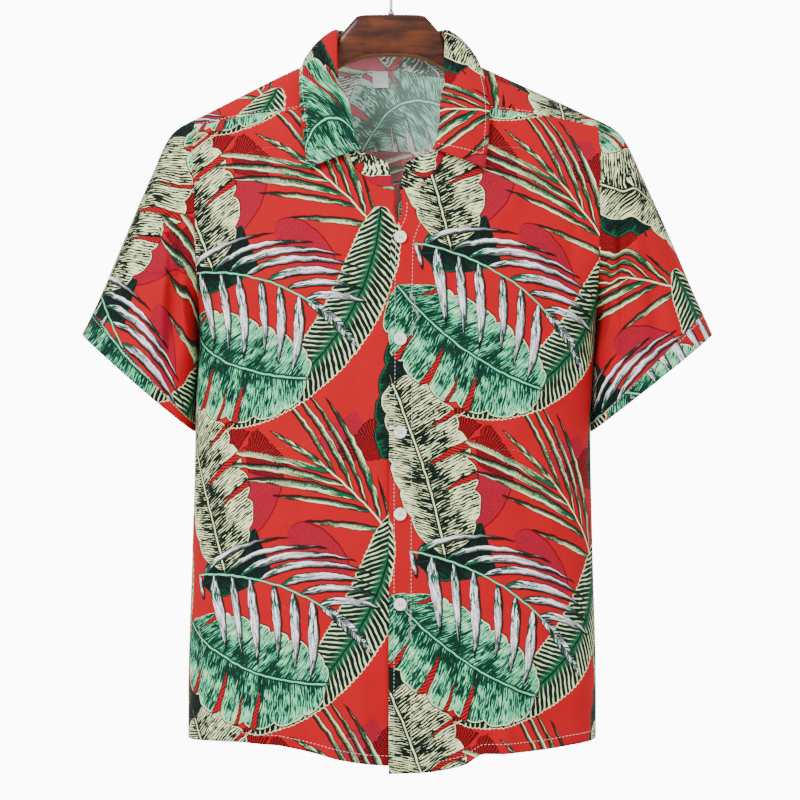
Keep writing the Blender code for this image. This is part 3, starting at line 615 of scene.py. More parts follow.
def edge_points(rows, shares):
    """Points of a collar edge's table, at some shares of the neckline."""
    x = smooth(shares, rows["share"], rows["x"])
    y = smooth(shares, rows["share"], rows["y"])
    down = smooth(shares, rows["share"], rows["down"])
    return np.stack([x, y, -down], axis=-1)


# ---- Making meshes

def grid_faces(rows, columns, flip=False):
    """Corner numbers of every four-sided face of a rows x columns grid."""
    corner = np.arange(rows * columns).reshape(rows, columns)
    quads = np.stack([corner[:-1, :-1], corner[:-1, 1:], corner[1:, 1:], corner[1:, :-1]],
                     axis=-1).reshape(-1, 4)
    return quads[:, ::-1] if flip else quads


def mesh_of(name, points, faces):
    """A smooth-shaded mesh from arrays of points and equal-sided faces."""
    mesh = bpy.data.meshes.new(name)
    points = np.asarray(points, dtype=np.float32).reshape(-1, 3)
    faces = np.asarray(faces, dtype=np.int32)
    mesh.vertices.add(len(points))
    mesh.vertices.foreach_set("co", points.ravel())
    mesh.loops.add(faces.size)
    mesh.loops.foreach_set("vertex_index", faces.ravel())
    mesh.polygons.add(len(faces))
    mesh.polygons.foreach_set("loop_start", np.arange(len(faces)) * faces.shape[1])
    mesh.update(calc_edges=True)
    mesh.validate()
    mesh.shade_smooth()
    return mesh


def add_piece(name, mesh, looks, slot, *nodes):
    """Puts a mesh in the scene as a piece that rides on the shirt and stands for nodes."""
    for look in looks:
        mesh.materials.append(look)
    piece = bpy.data.objects.new(name, mesh)
    bpy.context.scene.collection.objects.link(piece)
    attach(piece, "root")
    if nodes:
        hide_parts(*nodes)
    return piece


def paint_uv(mesh, name, flat):
    """A UV map from each point's place on the flat cloth."""
    layer = mesh.uv_layers.new(name=name)
    corner = np.empty(len(mesh.loops), dtype=np.int32)
    mesh.loops.foreach_get("vertex_index", corner)
    layer.data.foreach_set("uv", flat.reshape(-1, 2)[corner].astype(np.float32).ravel())


def store(mesh, name, values):
    """Three numbers at every point, for the cloth's material to read."""
    layer = mesh.attributes.new(name, "FLOAT_VECTOR", "POINT")
    layer.data.foreach_set("vector", values.reshape(-1, 3).astype(np.float32).ravel())


TAPERED = 0.4             # a piece that fills less of its box has its mean length worked out from its area


def give_wall(piece, thickness):
    """Cloth of this thickness, half of it on each side of the grid."""
    wall = piece.modifiers.new("wall", "SOLIDIFY")
    wall.thickness = thickness
    wall.offset = 0.0
    return wall


def cloth(name, points, flat, cut, node, flip=False):
    """One cut piece: a fine grid with its print, given the cloth's thickness."""
    mesh = mesh_of(name, points, grid_faces(*points.shape[:2], flip))
    place = cut_from(flat, cut)
    paint_uv(mesh, "cloth", place)
    for motif in MOTIFS:
        store(mesh, motif, leaf_coordinates(place, motif))
    piece = add_piece(name, mesh, cloth_looks(), "shirt_cloth", node)
    wall = give_wall(piece, bpy.context.scene.shirt_sizes.cloth_wall)
    wall.use_even_offset = True
    wall.material_offset = 1
    width, length = np.ptp(flat.reshape(-1, 2), axis=0)
    area = sum(face.area for face in mesh.polygons)
    if area < TAPERED * width * length:
        length = area / width
    area = min(area, width * length)
    return piece


# ---- Cut pieces

# How many points the grids have
BACK_COLUMNS = 193
BACK_ROWS = 201
SLEEVE_RING_POINTS = 189
SLEEVE_RINGS = 88
BAND_RINGS = 14
STAND_COLUMNS = 120
STAND_ROWS = 13
LEAF_COLUMNS = 110
LEAF_ROWS = 34
ROLL_ROWS = 9

TUCK = 0.004              # how far a seam's under piece goes on under the other one
UNDER = 0.0010            # and how far it lies below it
ROLL_SHARE = 0.62         # radius of the collar's roll, as a share of its gap
ROLL_END = 0.12           # where the roll ends and the leaf begins, in half turns
SIDE_TUCK = np.array([-0.0005, 0.0010, 0.0])    # a front's side edge, behind the back's
NECK_AXIS = np.array([0.0, -0.020, -0.150])     # a point in the middle of the neck


def body_flat(x, down, points, start, full):
    """Place on the flat cloth: run along each row from column start, and fall from the
    shoulder ridge."""
    level = points.copy()
    level[..., 2] = 0
    across = run_along(level, 1)
    across = across - across[:, start:start + 1]
    along = ridge(x) + fallen(np.maximum(down - ridge(x), 0), full)
    return np.stack([across, along], axis=-1)


def sew_front(name, hand, which):
    """One front. Its first row goes on under the yoke, and its side edge under the back's;
    the upper front's edge stands off the lower one."""
    x, down = front_grid(which)
    lift = lap(x, hand) + 0 * x
    x = np.concatenate((x[:1], x))
    down = np.concatenate((down[:1] - TUCK, down))
    lift = np.concatenate((lift[:1] - UNDER, lift))
    points = on_body(hand * x, down, 1, lift)
    points[down[:, -1] > ARMPIT_DOWN, -1] += SIDE_TUCK * (hand, 1, 1)
    flat = body_flat(x, down, points, 0, FRONT_DEPTH)
    flat[..., 0] = hand * (flat[..., 0] + x[:, :1])
    return cloth("cloth_" + name, points, flat, name, name, flip=hand > 0)


def sew_back():
    """The back: rows from the yoke's seam to the hem, columns that crowd at the sides."""
    share = np.sin(np.linspace(-1, 1, BACK_COLUMNS) * math.pi / 2)
    top = BACK_SEAM_DOWN + SEAM / 2
    t = np.concatenate(([0.0], np.linspace(0, 1, BACK_ROWS)))[:, None]
    down = top + (HEM_DOWN - top) * t + 0 * share
    down[0] -= TUCK
    x = reach(down) * share
    lift = np.where(np.arange(BACK_ROWS + 1) == 0, -UNDER, 0.0)[:, None]
    points = on_body(x, down, -1, lift)
    flat = body_flat(x, down, points, BACK_COLUMNS // 2, BACK_DEPTH) * (-1.0, 1.0)
    return cloth("cloth_back", points, flat, "back", "back")


def sew_yoke():
    """The yoke, whose flat place is its distance over the ridge."""
    x, over = yoke_grid()
    points = over_ridge(x, over)
    x = points[..., 0]
    full = np.where(over < 0, FRONT_DEPTH, BACK_DEPTH)
    fall = np.where(over < 0, fallen(np.abs(over), FRONT_DEPTH), -fallen(over, BACK_DEPTH))
    flat = np.stack([x + 0 * full, ridge(x) + fall], axis=-1)
    return cloth("cloth_yoke", points, flat, "yoke", "yoke", flip=True)


def sleeve_flat(hand, points):
    """Place on the flat cloth: height along the sleeve's outer line, and what is left of
    each ring's run once that height is taken off it."""
    line = np.array([hand * (SLEEVE_LINE["x"][-1] - SLEEVE_LINE["x"][0]), 0.0,
                     -(SLEEVE_LINE["down"][-1] - SLEEVE_LINE["down"][0])])
    line = line / np.linalg.norm(line)
    height = points @ line
    run = run_along(points, 1)
    rise = np.abs(np.diff(height, axis=1))
    steps = np.sqrt(np.maximum(np.diff(run, axis=1) ** 2 - rise ** 2, 0))
    across = np.concatenate((np.zeros_like(steps[:, :1]), np.cumsum(steps, axis=1)), axis=1)
    middle = across.shape[1] // 2
    across = across - across[:, middle:middle + 1]
    return np.stack([-hand * across, height - height.min()], axis=-1)


def sew_sleeve(hand, word):
    """A sleeve, whose first ring goes on under the body's cloth, and its band."""
    angle = np.linspace(-math.pi, math.pi, SLEEVE_RING_POINTS)
    name = "sleeve_" + word
    rings = sleeve_points(hand, np.linspace(0, BAND_SHARE, SLEEVE_RINGS), angle)
    inward = np.array([-hand * TUCK, 0.0, 0.0]) - UNDER * unit(rings[:1] * (0.0, 1.0, 0.0)
                                                               + (0.0, 1e-9, 0.0))
    rings = np.concatenate((rings[:1] + inward, rings))
    cloth("cloth_" + name, rings, sleeve_flat(hand, rings), name, name, flip=hand < 0)
    band_name = "sleeve_band_" + word
    band = sleeve_points(hand, np.linspace(BAND_SHARE, 1, BAND_RINGS), angle, SEAM)
    cloth("cloth_" + band_name, band, sleeve_flat(hand, band), band_name, band_name,
          flip=hand < 0)


def sew_collar_stand():
    """A ribbon from the neckline up to the fold, with a tail tucked in below it."""
    shares = np.linspace(0, 1, STAND_COLUMNS)
    low = mirrored(neck_points(shares))
    high = mirrored(edge_points(FOLD, shares))
    along = unit(np.gradient(low, axis=0))
    up = high - low
    square = unit(up - along * np.sum(up * along, axis=-1, keepdims=True))
    low = low + square * (WALL / 2 + SEAM)
    face = unit(np.cross(along, square))
    face = face * np.sign(np.sum(face * (NECK_AXIS - low), axis=-1, keepdims=True))
    t = np.linspace(0, 1, STAND_ROWS)[:, None, None]
    tail = low - square * TUCK + face * UNDER
    points = swayed(np.concatenate((tail[None], low + (high - low) * t)))
    flat = np.stack([run_along(points, 1), run_along(points, 0)], axis=-1)
    return cloth("cloth_collar_stand", points, flat, "collar_stand", "collar_stand")


def leaf_grid():
    """The leaf rolls over the stand's top edge, then falls to its own edge and rounds out
    between them, as a sine."""
    shares = np.linspace(LEAF_FIRST_SHARE, 1, LEAF_COLUMNS)
    fold = mirrored(edge_points(FOLD, shares))
    edge = mirrored(edge_points(LEAF_EDGE, shares))
    out = unit(np.cross(edge - fold, np.gradient(fold, axis=0)))
    fall = unit(edge - fold)
    t = np.linspace(0, 1, LEAF_ROWS)[:, None, None]
    bulge = LEAF_BULGE * np.sin(math.pi * t) ** 0.7
    leaf = fold + (edge - fold) * t + out * (LEAF_GAP * (1 - t) + bulge)
    turn = np.linspace(1.0, ROLL_END, ROLL_ROWS)[:, None, None] * math.pi
    radius = LEAF_GAP * ROLL_SHARE
    centre = fold + out * (LEAF_GAP - radius)
    roll = centre + radius * (np.cos(turn) * out - np.sin(turn) * fall)
    tail = roll[:1] + fall * np.linspace(0.004, 0.001, 3)[:, None, None]
    return swayed(np.concatenate((tail, roll, leaf)))


def sew_collar_leaf():
    points = leaf_grid()
    flat = np.stack([run_along(points, 1), run_along(points, 0)], axis=-1)
    return cloth("cloth_collar_leaf", points, flat, "collar_leaf", "collar_leaf",
                 flip=True)

# ---- The print, as it lies on the flat cloth

REPEAT = (0.236, 0.298)   # the print's repeat across and along the cloth
BEHIND = 0.006            # how far a leaf reaches behind its base
PRINT_EDGE = 0.0005       # width over which a printed edge ends
SHAKE = 0.0022            # how much the drawing hand shakes
FAN_RADIUS = 0.042
FAN_SPREAD = 0.98         # half angle of a fan, in radians
SHADE_LENGTH = 0.085      # of a purple leaf, and its half width
SHADE_HALF = 0.017
SHADE_STEP = 0.0021       # from line to line of its hatching
RIBBON_SLOPE = 0.62       # of the ribbon leaf's veins
RIBBON_HALF = 0.0265
RIBBON_STRIPE = 0.0055    # from stripe to stripe, and from tooth to tooth of its margin
RIBBON_TOOTH = 0.0048
RIBBON_HATCH = 0.0021
WEAVE = 0.0009            # from thread to thread

# One repeat of the print. Every leaf grows from its base along a midrib that is an arc:
# heading in degrees from across towards along, bend in radians per metre. length is the
# midrib's, left and right the widest reach beside it, beyond how far the leaf goes on past
# its midrib's end.
LEAF = "across along heading bend length left right beyond"
MOTIFS = {
    "fan": table(LEAF, (
        (0.046, -0.104, -106, 0.0, 0.040, 0.040, 0.040, 0.0),
        (0.066, -0.092, -38, 0.0, 0.036, 0.036, 0.036, 0.0),
        (0.196, 0.212, -116, 0.0, 0.056, 0.050, 0.050, 0.0))),
    "shade": table(LEAF, (
        (0.090, -0.106, 104, 3.0, 0.092, 0.020, 0.020, 0.0),
        (0.104, -0.034, 38, 4.0, 0.076, 0.022, 0.022, 0.0),
        (0.140, 0.190, -20, 0.0, 0.044, 0.015, 0.015, 0.0))),
    "dark": table(LEAF, (
        (0.000, 0.066, 94, 1.6, 0.150, 0.036, 0.034, 0.006),
        (0.006, 0.010, -18, 0.0, 0.070, 0.026, 0.024, 0.006))),
    "banana": table(LEAF, (
        (0.034, -0.002, -101, -1.6, 0.168, 0.038, 0.058, 0.008),)),
    "ribbon": table(LEAF, (
        (0.208, -0.034, 97, 4.3, 0.262, 0.036, 0.038, 0.006),)),
    "spray": table(LEAF, (
        (0.204, -0.010, -122, -2.4, 0.096, 0.074, 0.064, 0.092),)),
    "monstera": table(LEAF, (
        (-0.018, 0.044, 47, -3.9, 0.168, 0.052, 0.062, 0.006),)),
    "palm": table(LEAF, (
        (0.000, 0.000, 0, 4.8, 0.146, 0.074, 0.088, 0.082),)),
}

# Broad leaves: length, where they are widest, fullness, slopes of the left and right veins,
# width of a finger, width of a stroke, and how evenly the strokes are combed.
LOBED = {
    "dark": (0.150, 0.42, 0.45, 0.45, 0.45, 0.030, 0.0014, 0.08),
    "banana": (0.166, 0.46, 0.36, 0.50, 0.36, 0.027, 0.0013, 0.34),
    "monstera": (0.168, 0.38, 0.50, 0.60, 0.24, 0.026, 0.0012, 0.12),
}

# Their open slits from the margin inwards: side, vein, share of the width where they start,
# and half width.
SLITS = {
    "dark": (),
    "banana": ((1, 0.055, 0.30, 0.0030), (1, 0.083, 0.12, 0.0036),
               (1, 0.112, 0.45, 0.0022)),
    "monstera": ((1, 0.036, 0.40, 0.0026), (1, 0.066, 0.22, 0.0036),
                 (1, 0.088, 0.45, 0.0018), (1, 0.104, 0.30, 0.0030),
                 (-1, 0.014, 0.35, 0.0030)),
}

# Feather leaves: step between leaflets, half width of one, and how dark its far half is;
# then for the left and the right side slope, curve, fan, how much shorter the last leaflets
# are, and how slim this side's are.
FRONDS = {
    "spray": ((0.0205, 0.0031, 0.6), (0.95, 4.0, 20.0, 0.35, 1.1),
              (1.7, 6.0, 8.0, 0.20, 0.8)),
    "palm": ((0.0215, 0.0056, 0.1), (0.80, 17.0, 0.0, 0.50, 0.62),
             (0.05, 2.5, 5.0, 0.15, 1.0)),
}

# Colours: a broad leaf's shadow, body, light and margin; a feather leaf's body, streaks,
# tips and rib.
TONES = {
    "dark": ("black_green", "black_green", "dark_green", "emerald"),
    "banana": ("black_green", "dark_green", "cream", "cream"),
    "monstera": ("dark_green", "emerald", "mint", "cream"),
    "spray": ("cream", "emerald", "dark_green", "cream"),
    "palm": ("lilac", "emerald", "black_green", "mint"),
}

# How each piece was cut: a point of the flat piece, the point of the print under it, the
# grain's turn in degrees, and how far the piece was let drop for each metre across.
CUTS = {
    "front_left": (0.0170, 0.3194, 0.000, 0.000, 0.0, -0.150),
    "front_right": (-0.1050, 0.3791, 0.113, 0.048, 3.7, 0.085),
    "back": (0.0000, 0.3500, 0.070, 0.020, 0.0, 0.0),
    "yoke": (0.0050, 0.0000, 0.056, 0.095, -12.0, 0.0),
    "sleeve_left": (-0.0800, 0.1650, 0.168, -0.055, 21.0, 0.0),
    "sleeve_right": (0.0430, 0.1320, 0.044, -0.070, -15.0, 0.0),
    "sleeve_band_left": (-0.0500, 0.0200, 0.080, 0.060, 10.0, 0.0),
    "sleeve_band_right": (0.0500, 0.0200, 0.060, 0.110, 0.0, 0.0),
    "collar_stand": (0.0055, 0.0230, 0.030, -0.060, 0.0, 0.0),
    "collar_leaf": (0.4450, 0.0280, 0.062, 0.098, -20.0, 0.0),
}


def cut_from(flat, cut):
    """Turns and shifts a piece's points to where it was cut from the printed cloth."""
    across, along, print_across, print_along, turn, drop = CUTS[cut]
    cos = math.cos(math.radians(turn))
    sin = math.sin(math.radians(turn))
    x = flat[..., 0] - across
    y = flat[..., 1] - along
    return np.stack([print_across + x * cos - y * sin,
                     print_along + x * (sin + drop) + y * cos], axis=-1)


def leaf_coordinates(place, motif):
    """For the nearest leaf of a motif: how far a point lies along its midrib, how far to
    the right of it, and how far inside its reach (negative outside).

    On an arc of radius R the first is R times the angle from the base, the second the
    distance from the arc.
    """
    rows = MOTIFS[motif]
    repeat = np.array(REPEAT)
    best = np.full(place.shape[:-1] + (3,), -1.0)
    within = place - np.floor(place / repeat) * repeat
    for i in range(len(rows["across"])):
        heading = math.radians(rows["heading"][i])
        forward = np.array([math.cos(heading), math.sin(heading)])
        right = np.array([-math.sin(heading), math.cos(heading)])
        base = np.array([rows["across"][i], rows["along"][i]])
        bend = rows["bend"][i]
        for column in (-1, 0, 1):
            for row in (-1, 0, 1):
                offset = within - base - repeat * np.array([column, row])
                ahead = offset @ forward
                beside = offset @ right
                if bend:
                    radius = 1 / abs(bend)
                    beside = beside * np.sign(bend)
                    arm = np.hypot(ahead, radius - beside)
                    ahead = np.arctan2(ahead, radius - beside) * radius
                    beside = (radius - arm) * np.sign(bend)
                side = np.where(beside > 0, rows["right"][i], rows["left"][i])
                inside = np.minimum(side - np.abs(beside), ahead + BEHIND)
                end = rows["length"][i] + rows["beyond"][i]
                inside = np.minimum(inside, end - ahead)
                better = inside > best[..., 2]
                found = np.stack([ahead, beside, inside], axis=-1)
                best = np.where(better[..., None], found, best)
    return best


# ---- Materials

class Wire:
    """A number that flows through a material's nodes, and takes part in expressions."""

    def __init__(self, work, socket):
        self.work = work
        self.socket = socket

    def _with(self, operation, *others):
        values = [self] + list(others)
        return self.work.wire("ShaderNodeMath", {"operation": operation},
                              dict(enumerate(values)))

    def __add__(self, other):
        return self._with("ADD", other)

    def __radd__(self, other):
        return self._with("ADD", other)

    def __sub__(self, other):
        return self._with("SUBTRACT", other)

    def __rsub__(self, other):
        return self._with("MULTIPLY", -1.0) + other

    def __mul__(self, other):
        return self._with("MULTIPLY", other)

    def __rmul__(self, other):
        return self._with("MULTIPLY", other)

    def __truediv__(self, other):
        return self._with("DIVIDE", other)

    def __pow__(self, other):
        return self._with("POWER", other)

    def __neg__(self):
        return self._with("MULTIPLY", -1.0)

    def __abs__(self):
        return self._with("ABSOLUTE")

    def least(self, other):
        return self._with("MINIMUM", other)

    def most(self, other):
        return self._with("MAXIMUM", other)

    def fraction(self):
        return self._with("FRACT")

    def whole(self):
        return self._with("FLOOR")

    def sine(self):
        return self._with("SINE")

    def root(self):
        return self._with("SQRT")

    def angle_to(self, other):
        return self._with("ARCTAN2", other)

    def inside(self):
        """1 above 0 and 0 below it, with a printed edge between."""
        return self.above(0.0, PRINT_EDGE)

    def above(self, limit, soft):
        """0 below the limit, 1 above it, with a soft edge of the given width."""
        return self.work.wire("ShaderNodeMapRange", {"clamp": True},
                              {"Value": self, "From Min": limit - soft / 2,
                               "From Max": limit + soft / 2})


class Work:
    """The nodes of one material."""

    def __init__(self, name):
        self.material = bpy.data.materials.new(name)
        self.material.use_nodes = True
        self.tree = self.material.node_tree
        self.shader = self.tree.nodes["Principled BSDF"]

    def node(self, kind, settings=None, values=None):
        """Adds a node: its settings first, then values or links for its sockets."""
        made = self.tree.nodes.new(kind)
        for key, value in (settings or {}).items():
            setattr(made, key, value)
        for key, value in (values or {}).items():
            self.feed(made.inputs[key], value)
        return made

    def feed(self, socket, value):
        """Links a wire or a socket to a socket, or sets it to a number or a colour."""
        if isinstance(value, Wire):
            value = value.socket
        if isinstance(value, bpy.types.NodeSocket):
            self.tree.links.new(value, socket)
        elif isinstance(value, tuple) and len(value) == 3 and socket.type == "RGBA":
            socket.default_value = (*value, 1.0)
        else:
            socket.default_value = value

    def wire(self, kind, settings=None, values=None, output=0):
        return Wire(self, self.node(kind, settings, values).outputs[output])

    def split(self, socket):
        """The three numbers of a vector."""
        parts = self.node("ShaderNodeSeparateXYZ", None, {0: socket})
        return [Wire(self, output) for output in parts.outputs]

    def object_place(self):
        return self.node("ShaderNodeTexCoord").outputs["Object"]

    def stored(self, name):
        """The three numbers that a mesh keeps at its points under a name."""
        return self.split(self.node("ShaderNodeAttribute",
                                    {"attribute_name": name}).outputs["Vector"])

    def join(self, x, y):
        """A vector of two numbers."""
        return self.node("ShaderNodeCombineXYZ", None, {0: x, 1: y}).outputs[0]

    def mix(self, first, second, share, blend="MIX"):
        """A colour between two others, or the first one blended another way."""
        made = self.node("ShaderNodeMix", {"data_type": "RGBA", "clamp_factor": True,
                                           "blend_type": blend}, {0: share})
        self.feed(made.inputs[6], first)
        self.feed(made.inputs[7], second)
        return made.outputs[2]

    def noise(self, vector, scale, detail=2.0, rough=0.5, stretch=None, flat=True):
        """Noise from 0 to 1 at a vector, and its colour as three numbers."""
        if stretch:
            vector = self.node("ShaderNodeMapping", {"vector_type": "POINT"},
                               {"Vector": vector, "Scale": stretch}).outputs[0]
        made = self.node("ShaderNodeTexNoise", {"noise_dimensions": "2D" if flat else "3D"},
                         {"Vector": vector, "Scale": scale, "Detail": detail,
                          "Roughness": rough})
        return Wire(self, made.outputs["Fac"]), made.outputs["Color"]

    def bump(self, height, distance, strength=1.0):
        made = self.node("ShaderNodeBump", None, {"Height": height, "Distance": distance,
                                                  "Strength": strength})
        self.tree.links.new(made.outputs[0], self.shader.inputs["Normal"])

    def finish(self, values):
        """Sets or feeds the shader's own sockets, by their names."""
        for key, value in values.items():
            self.feed(self.shader.inputs[key], value)
        return self.material


def motif_wires(work, name, wobble):
    """Along, across and reach of a motif, shaken a little as a hand draws it."""
    along, across, reach_in = work.stored(name)
    return along + (wobble[0] - 0.5) * SHAKE, across + (wobble[1] - 0.5) * SHAKE, reach_in


def stripes(phase, duty, soft=0.3):
    """1 on stripes that take up the duty share of each whole step of phase."""
    wave = abs(phase.fraction() - 0.5) * 2
    return (duty - wave).above(0.0, soft)


def chance(work, index, seed):
    """A number from 0 to 1 that belongs to a whole number."""
    return work.wire("ShaderNodeTexWhiteNoise", {"noise_dimensions": "1D"},
                     {"W": index + seed}, 0)


def leaf_width(along, length, widest, fullness):
    """Half width of a leaf, widest at a share of its length:
    (1 - |2 x ** lead - 1| ** 2.2) ** fullness."""
    lead = math.log(0.5) / math.log(widest)
    x = (along / length).most(0.0).least(1.0) ** lead
    return (1 - abs(x * 2 - 1) ** 2.2).most(0.0) ** fullness


def draw_fan(work, ground, name, wobble, ink, colours):
    """Folded fan leaves: rays from one point, darker red, with a scalloped edge."""
    along, across, reach_in = motif_wires(work, name, wobble)
    radius = (along * along + across * across).root()
    angle = across.angle_to(along)
    scallop = abs((angle * 3.1 + 0.5).sine()) * 0.16 + abs((angle * 19.0).sine()) * 0.02
    edge = (scallop + 0.82) * FAN_RADIUS - radius
    inside = edge.above(0.0, 0.0006) * (FAN_SPREAD - abs(angle)).above(0.0, 0.02)
    inside = inside * reach_in.inside()
    rays = stripes(angle * 13.0 + wobble[2] * 0.9, ink * 0.3 + 0.34, 0.3)
    rim = stripes_at(edge, 0.0, 0.0008).most(stripes_at(FAN_SPREAD - abs(angle), 0.0, 0.03))
    shaded = work.mix(ground, colours["fan_shade"], inside * 0.55)
    return work.mix(shaded, colours["fan_line"], inside * rays.most(rim))


def stripes_at(value, place, width):
    """1 where a value lies within a width of a place."""
    return (width - abs(value - place)).above(0.0, width * 0.6)


def draw_shade(work, ground, name, wobble, ink, colours):
    """Faint leaves of fine purple hatching, with a dark red line down one side."""
    along, across, reach_in = motif_wires(work, name, wobble)
    width = leaf_width(along, SHADE_LENGTH, 0.40, 0.8) * SHADE_HALF
    patch = width - abs(across)
    inside = patch.above(0.0, 0.003) * reach_in.inside()
    lines = stripes((along * 0.7 + abs(across)) / SHADE_STEP + wobble[2] * 1.5, 0.5, 0.5)
    made = work.mix(ground, colours["purple"], inside * lines * (0.35 + ink * 0.65))
    line = stripes_at(patch, 0.0, 0.0005) * (-across).above(0.001, 0.001)
    return work.mix(made, colours["fan_line"], line * reach_in.inside() * 0.8)


def draw_lobed(work, ground, name, wobble, ink, colours):
    """A broad leaf. Its veins leave the midrib forward, at a slope to the left and one to
    the right of it; fine hatching follows them and opens towards the margin."""
    dark, base, light, edge_light = (colours[key] for key in TONES[name])
    length, widest, fullness, left_slope, right_slope, finger, hatch, comb = LOBED[name]
    along, across, reach_in = motif_wires(work, name, wobble)
    rows = MOTIFS[name]
    away = abs(across)
    right_side = across.above(0.0, 0.0004)
    left, right = rows["left"][0] - 0.006, rows["right"][0] - 0.006
    slope = right_side * (right_slope - left_slope) + left_slope
    vein = along - away * slope + away * away * 2.0
    phase = vein / finger + right_side * 0.37
    width = leaf_width(vein, length, widest, fullness)
    width = width * (right_side * (right - left) + left)
    width = width * (1 - (abs(phase.fraction() - 0.5) * 2) ** 3.0 * 0.12)
    edge = width - away
    share = away / width.most(0.002)
    window = reach_in.inside()
    leaf = edge.inside() * window
    slot = None
    for hand, place, begin, half in SLITS[name]:
        open_half = ((share - begin) / (1 - begin)).most(0.0) ** 0.45 * half
        cut = open_half - abs(vein - place) - 0.0004
        cut = cut + right_side - 1 if hand > 0 else cut - right_side
        slot = cut if slot is None else slot.most(cut)
    streak = work.noise(work.join(vein, away), 1.0, 2.0, 0.6,
                        stretch=(1 / hatch, 1 / 0.011, 1.0))[0]
    patch = work.noise(work.join(vein, away), 55.0, 1.0)[0]
    wave = (vein * (2 * math.pi / (hatch * 2.0)) + wobble[2] * 4.0).sine()
    tone = share * 0.62 + (streak - 0.5) * 2.6 + (patch - 0.5) * 1.2 + wave * comb
    tone = tone + (ink - 0.5) * 0.12
    colour = work.mix(dark, base, tone.above(0.14, 0.10))
    colour = work.mix(colour, light, tone.above(0.43, 0.10))
    colour = work.mix(colour, edge_light, tone.above(0.96, 0.14))
    gap = abs((phase + 0.5).fraction() - 0.5)
    ribs = stripes_at(gap, 0.5, 0.022).most(stripes_at(away, 0.0015, 0.0008))
    colour = work.mix(colour, dark, ribs * 0.95)
    colour = work.mix(colour, light, stripes_at(away, 0.0, 0.0008))
    colour = work.mix(colour, edge_light, (0.0011 - edge).above(0.0, 0.0006) * 0.9)
    outline = (edge + 0.0011).inside() * window
    made = work.mix(ground, colours["black_green"], outline)
    if slot is None:
        return work.mix(made, colour, leaf)
    colour = work.mix(colour, colours["black_green"], (slot + 0.0007).inside())
    through = work.mix(colours["ground"], colours["fan_line"],
                       stripes(vein / 0.0026 + away / 0.0046, 0.42, 0.3) * 0.8)
    return work.mix(made, work.mix(colour, through, slot.inside()), leaf)


def draw_ribbon(work, ground, name, wobble, ink, colours):
    """A long dark leaf with pale stripes along its veins and a toothed margin."""
    along, across, reach_in = motif_wires(work, name, wobble)
    rows = MOTIFS[name]
    length = rows["length"][0]
    away = abs(across)
    vein = along - away * RIBBON_SLOPE
    lower = across.above(0.0, 0.002) * (1 - (along / length).above(0.62, 0.1))
    teeth = stripes(vein / RIBBON_TOOTH, 0.6, 0.8)
    width = leaf_width(along, length, 0.40, 0.75) * RIBBON_HALF + teeth * 0.0011 - 0.0004
    edge = width - away
    window = reach_in.inside() * along.above(0.0, 0.001)
    share = away / width.most(0.002)
    tail = (along / length).above(0.66, 0.16)
    thick = (share * 0.24 + 0.15) * (1 - tail * 0.35) + (wobble[2] - 0.5) * 0.5
    pale = stripes(vein / RIBBON_STRIPE + lower * 0.5, thick, 0.22)
    pale = pale * (share - 0.08).above(0.0, 0.10)
    colour = work.mix(colours["black_green"], colours["dark_green"],
                      stripes(vein / RIBBON_HATCH, 0.5, 0.6) * (0.25 + lower * 0.6))
    colour = work.mix(colour, work.mix(colours["mint"], colours["cream"],
                                       (ink + 0.35).least(1.0)), pale)
    colour = work.mix(colour, colours["emerald"], (0.22 - share).above(0.0, 0.2) * 0.8)
    colour = work.mix(colour, colours["black_green"], stripes_at(away, 0.0, 0.0007))
    made = work.mix(ground, colours["cream"], (edge + 0.0008).inside() * window)
    return work.mix(made, colour, edge.inside() * window)


